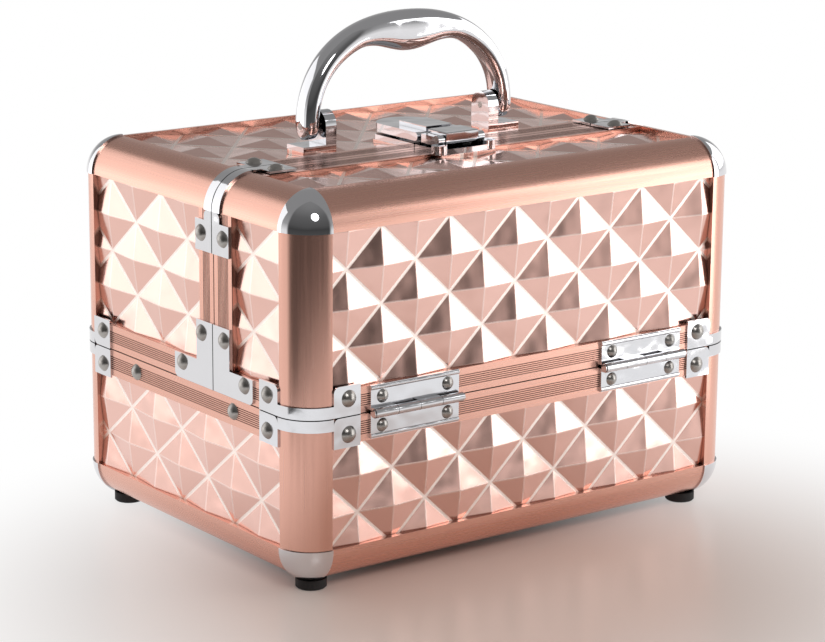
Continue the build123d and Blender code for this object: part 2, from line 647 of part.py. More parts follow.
for lid, y_sign, split in (
    ("front", -1, SPLIT_Y - SPLIT_GAP / 2),
    ("back", 1, SPLIT_Y + SPLIT_GAP / 2),
):
    outer_y = y_sign * HALF_Y
    post_y = y_sign * POST_IN_Y
    end_run = abs(post_y - split)
    end_w = SPLIT_END_W[lid]
    split_end = ribbed_section(end_w)
    split_top = ribbed_section(SPLIT_TOP_W, SPLIT_RECESS)

    with BuildPart() as posts:
        run(edge, (HALF_X, outer_y, LID_BOTTOM), (-1, 0, 0), (0, -y_sign, 0), (0, 0, 1),
            EDGE_TOP_Z - LID_BOTTOM)
        mirror(about=Plane.YZ)
    hand_over(posts, f"{lid}_lid_corner_posts")

    with BuildPart() as edges:
        run(edge, (-POST_IN_X, outer_y, TOP_Z), (0, -y_sign, 0), (0, 0, -1), (1, 0, 0), 2 * POST_IN_X)
        run(edge, (HALF_X, split, TOP_Z), (-1, 0, 0), (0, 0, -1), (0, y_sign, 0), end_run)
        run(edge, (-HALF_X, split, TOP_Z), (1, 0, 0), (0, 0, -1), (0, y_sign, 0), end_run)
    hand_over(edges, f"{lid}_lid_edge_profiles")

    with BuildPart() as rims:
        run(lid_rim, (-POST_IN_X, outer_y, LID_BOTTOM), (0, -y_sign, 0), (0, 0, 1), (1, 0, 0),
            2 * POST_IN_X)
        run(lid_rim, (HALF_X, split, LID_BOTTOM), (-1, 0, 0), (0, 0, 1), (0, y_sign, 0), end_run)
        run(lid_rim, (-HALF_X, split, LID_BOTTOM), (1, 0, 0), (0, 0, 1), (0, y_sign, 0), end_run)
    hand_over(rims, f"{lid}_lid_rims")

    with BuildPart() as split_profiles:
        run(split_end, (HALF_X, split, LID_RIM_Z), (-1, 0, 0), (0, y_sign, 0), (0, 0, 1),
            EDGE_TOP_Z - LID_RIM_Z)
        mirror(about=Plane.YZ)
        run(split_top, (-POST_IN_X, split, SEAT_Z), (0, 0, -1), (0, y_sign, 0), (1, 0, 0), 2 * POST_IN_X)
    hand_over(split_profiles, f"{lid}_lid_split_profiles")

    # Panels: each window is what shows between the extrusions.
    face_window = ((-POST_IN_X, POST_IN_X), (LID_RIM_Z, EDGE_TOP_Z))
    end_from = split + y_sign * end_w
    top_from = split + y_sign * SPLIT_TOP_W
    face_plane = Plane((0, outer_y - y_sign * FACE_DEPTH, 0), (-y_sign, 0, 0), (0, y_sign, 0))
    with BuildPart() as panel:
        add(embossed_panel(face_plane, grown(face_window), face_window, LID_FACE_STAR, PITCH_X, PITCH_Z))
    hand_over(panel, f"{lid}_lid_face_panel")

    end_window_y = sorted((end_from, post_y))
    end_star = LID_END_STAR[lid]
    with BuildPart() as panels:
        for x_sign in (-1, 1):
            window_s = tuple(sorted((x_sign * end_window_y[0], x_sign * end_window_y[1])))
            window = (window_s, (LID_RIM_Z, EDGE_TOP_Z))
            plane = Plane((x_sign * (HALF_X - FACE_DEPTH), 0, 0), (0, x_sign, 0), (x_sign, 0, 0))
            star = (x_sign * end_star[0], end_star[1])
            add(embossed_panel(plane, grown(window), window, star, PITCH_Y, PITCH_Z))
    hand_over(panels, f"{lid}_lid_end_panels")

    top_window = ((-POST_IN_X, POST_IN_X), tuple(sorted((top_from, post_y))))
    top_plane = Plane((0, 0, TOP_Z - FACE_DEPTH), (1, 0, 0), (0, 0, 1))
    pad_h = SEAT_Z - TOP_Z + FACE_DEPTH
    pads = [((-LATCH_W / 2, LATCH_W / 2), (top_from, KEEPER_FRONT_Y - KEEPER_BOW), pad_h)]
    if lid == "back":
        pads = [((-LATCH_W / 2, LATCH_W / 2), (top_from, LATCH_BACK_Y), pad_h)]
        for x_sign in (-1, 1):
            plate_x = (x_sign * EAR_X, x_sign * (HANDLE_OUT_X + PLATE_PAST_LEG))
            pads.append((plate_x, (HANDLE_Y - EAR_R, HANDLE_Y + EAR_R), pad_h))
    with BuildPart() as panel:
        add(embossed_panel(top_plane, grown(top_window), top_window, TOP_STAR, PITCH_X, PITCH_Y, pads))
    hand_over(panel, f"{lid}_lid_top_panel")

    with BuildPart() as lining:
        inner_y = (outer_y - y_sign * BOARD_IN, outer_y - y_sign * INNER)
        slab((-POST_IN_X, POST_IN_X), inner_y, (LID_RIM_Z, EDGE_TOP_Z))
        slab((-POST_IN_X, POST_IN_X), (top_from, post_y), (TOP_Z - BOARD_IN, TOP_Z - INNER))
        for x_sign in (-1, 1):
            slab((x_sign * (HALF_X - BOARD_IN), x_sign * (HALF_X - INNER)), (end_from, post_y),
                 (LID_RIM_Z, EDGE_TOP_Z))
    hand_over(lining, f"{lid}_lid_linings")

    with BuildPart() as caps:
        add(cap_corner(1, y_sign, 1, EDGE_TOP_Z))
        mirror(about=Plane.YZ)
    hand_over(caps, f"{lid}_lid_corner_caps")

    with BuildPart() as brackets:
        add(seam_bracket(1, y_sign, LID_BOTTOM, 1))
        mirror(about=Plane.YZ)
    hand_over(brackets, f"{lid}_lid_seam_brackets")

    with BuildPart() as straps:
        add(strap_half(1, y_sign, split))
        mirror(about=Plane.YZ)
    hand_over(straps, f"{lid}_lid_split_straps")

    with BuildPart() as ells:
        add(foot_bracket(1, y_sign, split))
        mirror(about=Plane.YZ)
    hand_over(ells, f"{lid}_lid_foot_brackets")

    with BuildPart() as leaves:
        add(hinge_leaf(y_sign, 1, odd=True))
        mirror(about=Plane.YZ)
    hand_over(leaves, f"{lid}_lid_hinge_leaves")

    places = []
    for x_sign in (-1, 1):
        places += seam_rivets(x_sign, y_sign, LID_BOTTOM, 1)
        places += strap_rivets(x_sign, y_sign, split)
        places += foot_rivets(x_sign, y_sign, split)
    hinge_places = [place for x_sign in (-1, 1) for place in hinge_rivets(x_sign, y_sign, 1)]
    lid_rivets = rivets((places, RIVET_R, SHEET), (hinge_places, HINGE_RIVET_R, HINGE_SHEET))
    hand_over(lid_rivets, f"{lid}_lid_rivets")

    # Tray, its dividers, the arms that swing it and the studs that carry it.
    tray_y = (y_sign * TRAY_Y[0], y_sign * TRAY_Y[1])
    lid_pivot = (y_sign * (HINGE_Y - CRANK[0]), SEAM_Z + CRANK[1])
    base_pivot = (y_sign * ARM_BASE_Y, ARM_BASE_Z)
    tray_pivot = (y_sign * (ARM_BASE_Y - CRANK[0]), ARM_BASE_Z + CRANK[1])
    middle_y = (tray_y[0] + tray_y[1]) / 2
    depth = TRAY_Y[1] - TRAY_Y[0]
    with BuildPart() as tray:
        with BuildSketch(Plane.XY.offset(TRAY_Z[0])):
            with Locations((0, middle_y)):
                RectangleRounded(2 * TRAY_X, depth, TRAY_CORNER_R)
        extrude(amount=TRAY_Z[1] - TRAY_Z[0])
        with BuildSketch(Plane.XY.offset(TRAY_Z[0] + TRAY_WALL)):
            with Locations((0, middle_y)):
                RectangleRounded(2 * (TRAY_X - TRAY_WALL), depth - 2 * TRAY_WALL, TRAY_CORNER_R - TRAY_WALL)
        extrude(amount=TRAY_Z[1] - TRAY_Z[0], mode=Mode.SUBTRACT)
        for pivot in (lid_pivot, tray_pivot):
            with Locations(Plane((0, *pivot), (0, 1, 0), (1, 0, 0)).location):
                Cylinder(STUD_R + STUD_PLAY, 2 * HALF_X, mode=Mode.SUBTRACT)
    hand_over(tray, f"{lid}_tray")

    with BuildPart() as dividers:
        inside_y = (tray_y[0] + y_sign * TRAY_WALL, tray_y[1] - y_sign * TRAY_WALL)
        height = (TRAY_Z[0] + TRAY_WALL, TRAY_Z[1] - DIVIDER_BELOW_RIM)
        long_y = (middle_y - DIVIDER / 2, middle_y + DIVIDER / 2)
        slab((-DIVIDER_END_X, DIVIDER_END_X), long_y, height)
        for x in (-DIVIDER_END_X, 0, DIVIDER_END_X):
            slab((x - DIVIDER / 2, x + DIVIDER / 2), inside_y, height)
    hand_over(dividers, f"{lid}_tray_dividers")

    arm_middle = ((base_pivot[0] + tray_pivot[0]) / 2, (base_pivot[1] + tray_pivot[1]) / 2)
    arm_tilt = degrees(atan2(CRANK[1], -y_sign * CRANK[0]))
    arm_span = (CRANK[0] ** 2 + CRANK[1] ** 2) ** 0.5
    with BuildPart() as arms:
        with BuildSketch(Plane((ARM_X, 0, 0), (0, 1, 0), (1, 0, 0))):
            with Locations(Location((*arm_middle, 0), (0, 0, arm_tilt))):
                SlotCenterToCenter(arm_span, ARM_W)
            with Locations(base_pivot):
                Circle(STUD_R + STUD_PLAY, mode=Mode.SUBTRACT)
        extrude(amount=ARM_T)
        with Locations(Plane((ARM_X, *tray_pivot), (0, 1, 0), (-1, 0, 0)).location):
            Cylinder(FREE_STUD_R, ARM_X - TRAY_X + TRAY_WALL + STUD_PLAY,
                     align=(Align.CENTER, Align.CENTER, Align.MIN))
            with Locations((0, 0, ARM_X - TRAY_X + TRAY_WALL + STUD_PLAY)):
                Cylinder(STUD_HEAD_R, STUD_HEAD, align=(Align.CENTER, Align.CENTER, Align.MIN))
        mirror(about=Plane.YZ)
    hand_over(arms, f"{lid}_tray_arms")

    with BuildPart() as studs:
        with Locations(Plane((HALF_X - INNER, *lid_pivot), (0, 1, 0), (-1, 0, 0)).location):
            reach = HALF_X - INNER - TRAY_X + TRAY_WALL + STUD_PLAY
            Cylinder(STUD_R, reach, align=(Align.CENTER, Align.CENTER, Align.MIN))
            Cylinder(STUD_HEAD_R, HALF_X - INNER - TRAY_X - COLLAR_GAP,
                     align=(Align.CENTER, Align.CENTER, Align.MIN))
            with Locations((0, 0, reach)):
                Cylinder(STUD_HEAD_R, STUD_HEAD, align=(Align.CENTER, Align.CENTER, Align.MIN))
        mirror(about=Plane.YZ)
    hand_over(studs, f"{lid}_lid_tray_studs")


# Handle --------------------------------------------------------------------------------------------
leg_mid = HANDLE_OUT_X - HANDLE_LEG / 2
with BuildPart() as handle:
    with BuildSketch(Plane((0, HANDLE_Y + HANDLE_DEPTH / 2, 0), (1, 0, 0), (0, -1, 0))) as arch:
        with BuildLine():
            right = (HANDLE_OUT_X, HANDLE_PIVOT_Z)
            shoulder = (HANDLE_OUT_X - HANDLE_SHOULDER_IN, HANDLE_TOP - HANDLE_SHOULDER_DROP)
            Spline(right, shoulder, (0, HANDLE_TOP), tangents=((0, 1), (-1, 0)))
            inner_x = HANDLE_OUT_X - HANDLE_LEG
            Spline(
                (inner_x, HANDLE_PIVOT_Z), (inner_x + 0.3, HANDLE_PIVOT_Z + 18),
                (HANDLE_DIP_X, HANDLE_TOP - HANDLE_DIP_T), (0, HANDLE_TOP - HANDLE_GRIP_T),
                tangents=((0, 1), (-1, 0)),
            )
            Line((inner_x, HANDLE_PIVOT_Z), right)
            mirror(about=Plane.YZ)
        make_face()
    extrude(arch.sketch, amount=HANDLE_DEPTH)
    fillet(handle.edges().filter_by(lambda e: e.geom_type == GeomType.BSPLINE), radius=HANDLE_ROUND)
    for x_sign in (-1, 1):
        with Locations(Plane((x_sign * leg_mid, HANDLE_Y, HANDLE_PIVOT_Z), (0, 1, 0), (1, 0, 0)).location):
            Cylinder(HANDLE_DEPTH / 2, HANDLE_LEG)
            Cylinder(HANDLE_PIN_R + LATCH_PLAY, HANDLE_LEG, mode=Mode.SUBTRACT)
hand_over(handle, "handle")

with BuildPart() as handle_brackets:
    plate_end = HANDLE_OUT_X + PLATE_PAST_LEG
    slab((EAR_X, plate_end), (HANDLE_Y - EAR_R, HANDLE_Y + EAR_R), (SEAT_Z, SEAT_Z + BRACKET_PLATE))
    with BuildSketch(Plane((EAR_X, HANDLE_Y, HANDLE_PIVOT_Z), (0, 1, 0), (1, 0, 0))) as ear:
        Circle(EAR_R)
        bar2d((-EAR_R, EAR_R), (-PIVOT_H, 0))
        Circle(HANDLE_PIN_R, mode=Mode.SUBTRACT)
    extrude(ear.sketch, amount=EAR_W)
    mirror(about=Plane.YZ)
hand_over(handle_brackets, "handle_brackets")

with BuildPart() as handle_pins:
    with Locations(Plane((EAR_X, HANDLE_Y, HANDLE_PIVOT_Z), (0, 1, 0), (1, 0, 0)).location):
        Cylinder(HANDLE_PIN_R, HANDLE_OUT_X - EAR_X, align=(Align.CENTER, Align.CENTER, Align.MIN))
    mirror(about=Plane.YZ)
hand_over(handle_pins, "handle_pins")

# Latch ---------------------------------------------------------------------------------------------
lug_y = (LEVER_PIVOT_Y - LEVER_NOSE_R, LEVER_PIVOT_Y + LEVER_NOSE_R)
latch_front_y = SPLIT_Y + SPLIT_GAP / 2
with BuildPart() as latch_base:
    slab((-LATCH_W / 2, LATCH_W / 2), (latch_front_y, LATCH_BACK_Y), (SEAT_Z, SEAT_Z + LATCH_PLATE))
    fillet(latch_base.edges().filter_by(Axis.Z).group_by(Axis.Y)[-1], radius=2.0)
    with BuildSketch(Plane((-LUG_W / 2, 0, 0), (0, 1, 0), (1, 0, 0))) as lug:
        with Locations((LEVER_PIVOT_Y, LEVER_PIVOT_Z)):
            Circle(LEVER_NOSE_R)
        bar2d(lug_y, (SEAT_Z + LATCH_PLATE, LEVER_PIVOT_Z))
        with Locations((LEVER_PIVOT_Y, LEVER_PIVOT_Z)):
            Circle(PIN_R, mode=Mode.SUBTRACT)
    extrude(lug.sketch, amount=LUG_W)
hand_over(latch_base, "latch_base")

lever_z = (SEAT_Z + LEVER_LIFT, SEAT_Z + LEVER_LIFT + LEVER_T)
tail_r = LEVER_W / 2
with BuildPart() as lever:
    with BuildSketch(Plane.XY.offset(lever_z[0])) as plate:
        bar2d((-tail_r, tail_r), (LEVER_PIVOT_Y, LEVER_TAIL_Y - LEVER_TAIL_BOW))
        with BuildLine():
            back = ThreePointArc(
                (-tail_r, LEVER_TAIL_Y - LEVER_TAIL_BOW), (0, LEVER_TAIL_Y),
                (tail_r, LEVER_TAIL_Y - LEVER_TAIL_BOW),
            )
            Line(back @ 1, back @ 0)
        make_face()
    extrude(plate.sketch, amount=LEVER_T)
    with Locations(Plane((0, LEVER_PIVOT_Y, LEVER_PIVOT_Z), (0, 1, 0), (1, 0, 0)).location):
        Cylinder(LEVER_NOSE_R, LEVER_W)
    slab((-STRIP_W / 2, STRIP_W / 2), STRIP_Y, (lever_z[1], lever_z[1] + STRIP_T))
    slot_x = LUG_W / 2 + SLOT_PLAY
    hollow_y = (LEVER_PIVOT_Y + LEVER_NOSE_R + SLOT_BACK, LEVER_TAIL_Y - LEVER_TAIL_BOW)
    slab((-slot_x, slot_x), (LEVER_PIVOT_Y - 2 * LEVER_NOSE_R, hollow_y[0]),
         (lever_z[0] - SLOT_PLAY, lever_z[1] + SLOT_PLAY), mode=Mode.SUBTRACT)
    slab((-tail_r + RAIL, tail_r - RAIL), hollow_y, (lever_z[0], lever_z[1] - RAIL), mode=Mode.SUBTRACT)
    with Locations(Plane((0, LEVER_PIVOT_Y, LEVER_PIVOT_Z), (0, 1, 0), (1, 0, 0)).location):
        Cylinder(PIN_R + LATCH_PLAY, LEVER_PIN_L + 2 * LATCH_PLAY, mode=Mode.SUBTRACT)
hand_over(lever, "latch_lever")

with BuildPart() as lever_pin:
    with Locations(Plane((0, LEVER_PIVOT_Y, LEVER_PIVOT_Z), (0, 1, 0), (1, 0, 0)).location):
        Cylinder(PIN_R, LEVER_PIN_L)
hand_over(lever_pin, "latch_lever_pin")

keeper_back_y = SPLIT_Y - SPLIT_GAP / 2
claw_pivot_z = SEAT_Z + CLAW_PIVOT_H
keeper_top = SEAT_Z + LATCH_PLATE
cheek_top = lever_z[1]
with BuildPart() as keeper:
    with BuildSketch(Plane.XY.offset(SEAT_Z)) as plate:
        bar2d((-LATCH_W / 2, LATCH_W / 2), (KEEPER_FRONT_Y, keeper_back_y))
        with BuildLine():
            bow = ThreePointArc(
                (-LATCH_W / 2, KEEPER_FRONT_Y), (0, KEEPER_FRONT_Y - KEEPER_BOW),
                (LATCH_W / 2, KEEPER_FRONT_Y),
            )
            Line(bow @ 1, bow @ 0)
        make_face()
    extrude(plate.sketch, amount=LATCH_PLATE)
    for x_sign in (-1, 1):
        with Locations((x_sign * POST_X, POST_Y, SEAT_Z)):
            Cylinder(POST_R, POST_H, align=(Align.CENTER, Align.CENTER, Align.MIN))
        cheek_x = x_sign * CHEEK_X[0]
        with BuildSketch(Plane((cheek_x, 0, 0), (0, 1, 0), (1, 0, 0))) as cheek:
            nose_r = cheek_top - claw_pivot_z
            bar2d((CLAW_PIVOT_Y, CLAW_Y[1]), (lever_z[0], cheek_top))
            with Locations((CLAW_PIVOT_Y, claw_pivot_z)):
                Circle(nose_r + 0.6)
            bar2d((CLAW_PIVOT_Y - nose_r, CLAW_PIVOT_Y + 2 * nose_r), (keeper_top, claw_pivot_z))
            with Locations((CLAW_PIVOT_Y, claw_pivot_z)):
                Circle(PIN_R, mode=Mode.SUBTRACT)
        extrude(cheek.sketch, amount=x_sign * (CHEEK_X[1] - CHEEK_X[0]))
hand_over(keeper, "latch_keeper")

with BuildPart() as claw:
    with BuildSketch(Plane((-CLAW_W / 2, 0, 0), (0, 1, 0), (1, 0, 0))) as block:
        bar2d(CLAW_Y, (SEAT_Z + CLAW_LIFT, SEAT_Z + CLAW_TOP))
        fillet(block.vertices().group_by(Axis.Z)[0].sort_by(Axis.Y)[0], CLAW_PIVOT_H - CLAW_LIFT)
        with Locations((CLAW_PIVOT_Y, claw_pivot_z)):
            Circle(PIN_R + LATCH_PLAY, mode=Mode.SUBTRACT)
    extrude(block.sketch, amount=CLAW_W)
    chamfer(claw.faces().sort_by(Axis.Z)[-1].edges(), length=0.4)
hand_over(claw, "latch_claw")

with BuildPart() as claw_pin:
    with Locations(Plane((0, CLAW_PIVOT_Y, claw_pivot_z), (0, 1, 0), (1, 0, 0)).location):
        Cylinder(PIN_R, 2 * CHEEK_X[1])
hand_over(claw_pin, "latch_claw_pin")
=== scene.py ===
"""Looks of a small train case for make-up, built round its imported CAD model.

The case has a rose gold aluminium frame, panels covered with glossy embossed film, chrome fittings and,
inside, two black trays on swinging arms. Everything is in the CAD model's own frame: X along the case, -Y the
front, Z up, the origin on the ground under the middle. Blender takes metres, and what is written in
millimetres is multiplied by MM where it is used.
"""

from __future__ import annotations

import logging
import math
from dataclasses import dataclass, field, replace
from enum import Enum

import bpy
from mathutils import Matrix, Vector

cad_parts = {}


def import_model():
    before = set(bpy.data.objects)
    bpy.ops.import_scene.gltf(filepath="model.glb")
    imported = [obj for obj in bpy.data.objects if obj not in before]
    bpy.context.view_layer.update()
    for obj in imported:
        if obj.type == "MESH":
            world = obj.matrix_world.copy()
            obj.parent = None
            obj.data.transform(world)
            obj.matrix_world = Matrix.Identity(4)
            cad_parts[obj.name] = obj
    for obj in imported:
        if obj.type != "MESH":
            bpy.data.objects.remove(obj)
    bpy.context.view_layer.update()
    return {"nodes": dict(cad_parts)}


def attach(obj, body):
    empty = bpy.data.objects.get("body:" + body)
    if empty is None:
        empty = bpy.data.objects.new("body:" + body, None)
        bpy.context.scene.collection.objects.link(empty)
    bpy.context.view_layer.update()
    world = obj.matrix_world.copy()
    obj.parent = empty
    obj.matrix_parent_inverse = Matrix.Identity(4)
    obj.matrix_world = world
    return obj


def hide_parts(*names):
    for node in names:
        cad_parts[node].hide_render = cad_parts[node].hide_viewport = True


LOG = logging.getLogger("train_case")
MM = 0.001

Triple = tuple[float, float, float]
Pair = tuple[float, float]
Levels = tuple[Pair, ...]


# Node building -------------------------------------------------------------------------------------


@dataclass(frozen=True)
class Tone:
    """A colour as it is seen on screen, each part from 0 to 255."""

    red: float
    green: float
    blue: float

    def linear(self) -> tuple[float, float, float, float]:
        """Undo the screen's curve.

        Returns:
            The colour in Blender's linear RGBA.
        """
        parts = (self.red / 255, self.green / 255, self.blue / 255)
        flat = [p / 12.92 if p <= 0.04045 else ((p + 0.055) / 1.055) ** 2.4 for p in parts]
        return (flat[0], flat[1], flat[2], 1.0)

    def scaled(self, by: float) -> Tone:
        """Return the colour made lighter or darker, each part multiplied and held to 255."""
        return Tone(*(min(255.0, part * by) for part in (self.red, self.green, self.blue)))


class Grain(Enum):
    """Which way a surface's grain runs, as how fast it changes along X, Y and Z."""

    ALONG_X = (0.02, 1.0, 1.0)
    ALONG_Y = (1.0, 0.02, 1.0)
    ALONG_Z = (1.0, 1.0, 0.02)
    EVERY_WAY = (1.0, 1.0, 1.0)


class Wiring:
    """Adds nodes to a node tree and joins them, laying them out in columns."""

    COLUMNS = 8
    COLUMN_STEP, ROW_STEP = 220, -260

    def __init__(self, tree: bpy.types.NodeTree) -> None:
        """Start on a tree.

        Args:
            tree: The material's, world's or group's node tree.
        """
        self.tree = tree
        self.count = 0

    def add(self, kind: str, label: str = "", **settings: object) -> bpy.types.Node:
        """Add a node.

        Args:
            kind: Blender's node type name.
            label: What the node is for.
            **settings: Properties of the node.

        Returns:
            The new node.
        """
        node = self.tree.nodes.new(kind)
        node.label = label
        row, column = divmod(self.count, self.COLUMNS)
        node.location = (self.COLUMN_STEP * column, self.ROW_STEP * row)
        self.count += 1
        for name, value in settings.items():
            setattr(node, name, value)
        return node

    def feed(self, target: bpy.types.NodeSocket, value: object) -> None:
        """Give an input its value.

        Args:
            target: The input.
            value: An output to link to it, or a number, vector or colour to write there.
        """
        if isinstance(value, bpy.types.NodeSocket):
            self.tree.links.new(value, target)
        else:
            target.default_value = value

    def fill(self, node: bpy.types.Node, **values: object) -> None:
        """Feed a node's inputs.

        Args:
            node: The node.
            **values: What each input gets by its name, with underscores for spaces.
        """
        for name, value in values.items():
            self.feed(node.inputs[name.replace("_", " ")], value)

    def maths(self, operation: str, *values: object) -> bpy.types.NodeSocket:
        """Add a Math node.

        Args:
            operation: Blender's name of the operation.
            *values: A socket or a number for each input.

        Returns:
            The node's output.
        """
        node = self.add("ShaderNodeMath", operation=operation)
        for socket, value in zip(node.inputs, values):
            self.feed(socket, value)
        return node.outputs[0]

    def vectors(self, operation: str, label: str, *values: object) -> bpy.types.NodeSocket:
        """Add a Vector Math node.

        Args:
            operation: Blender's name of the operation.
            label: What the result is.
            *values: A socket or a vector for each input.

        Returns:
            The output that holds the result, a vector or a number.
        """
        node = self.add("ShaderNodeVectorMath", label, operation=operation)
        for socket, value in zip(node.inputs, values):
            self.feed(socket, value)
        return node.outputs["Value" if operation in ("DOT_PRODUCT", "DISTANCE") else "Vector"]

    def spot(self) -> bpy.types.NodeSocket:
        """Return the place on the surface in the CAD model's frame."""
        return self.add("ShaderNodeTexCoord").outputs["Object"]

    def noise(
        self, label: str, where: bpy.types.NodeSocket, scale: object, detail: float = 2.0, warp: float = 0.0
    ) -> bpy.types.NodeSocket:
        """Add a noise texture.

        Args:
            label: What the noise stands for.
            where: The place to read it at.
            scale: How fine it is, as a number or a socket.
            detail: How many finer layers it has.
            warp: How much it is distorted.

        Returns:
            The noise, from 0 to 1.
        """
        node = self.add("ShaderNodeTexNoise", label)
        self.fill(node, Vector=where, Scale=scale, Detail=detail, Distortion=warp)
        return node.outputs["Fac"]

    def ranged(
        self, label: str, value: bpy.types.NodeSocket, span: Pair, smooth: bool = False
    ) -> bpy.types.NodeSocket:
        """Turn a span of a value into 0 to 1.

        Args:
            label: What the result picks out.
            value: The value.
            span: The value that becomes 0, and the one that becomes 1.
            smooth: Whether the ends ease in and out.

        Returns:
            The result, held between 0 and 1.
        """
        node = self.add("ShaderNodeMapRange", label, interpolation_type="SMOOTHSTEP" if smooth else "LINEAR")
        self.fill(node, Value=value, From_Min=span[0], From_Max=span[1])
        return node.outputs["Result"]

    def blend(
        self, label: str, share: bpy.types.NodeSocket, first: object, second: object, kind: str = "RGBA"
    ) -> bpy.types.NodeSocket:
        """Mix two colours or vectors.

        Args:
            label: What the result is.
            share: How much of the second there is.
            first: A socket or a value.
            second: A socket or a value.
            kind: Blender's name of what is mixed.

        Returns:
            The mixture.
        """
        node = self.add("ShaderNodeMix", label, data_type=kind)
        self.fill(node, Factor=share, A=first, B=second)
        return node.outputs["Result"]

    def mix_shaders(
        self, share: bpy.types.NodeSocket, first: bpy.types.NodeSocket, second: bpy.types.NodeSocket,
        out: bpy.types.Node,
    ) -> None:
        """Mix two shaders and end the tree with the result.

        Args:
            share: How much of the second there is.
            first: A shader.
            second: Another shader.
            out: The tree's output node.
        """
        node = self.add("ShaderNodeMixShader")
        for socket, value in zip(node.inputs, (share, first, second)):
            self.feed(socket, value)
        self.fill(out, Surface=node.outputs["Shader"])

    def place(self, group: bpy.types.NodeTree, **values: object) -> bpy.types.Node:
        """Place a node group with its own values.

        Args:
            group: The group's node tree.
            **values: Its inputs' values, as fill takes them.

        Returns:
            The group node.
        """
        node = self.add("ShaderNodeGroup", group.name)
        node.node_tree = group
        self.fill(node, **values)
        return node


class SocketKind(Enum):
    """Kinds of node group sockets."""

    COLOUR = "NodeSocketColor"
    NUMBER = "NodeSocketFloat"
    VECTOR = "NodeSocketVector"


COLOUR, NUMBER, VECTOR = SocketKind


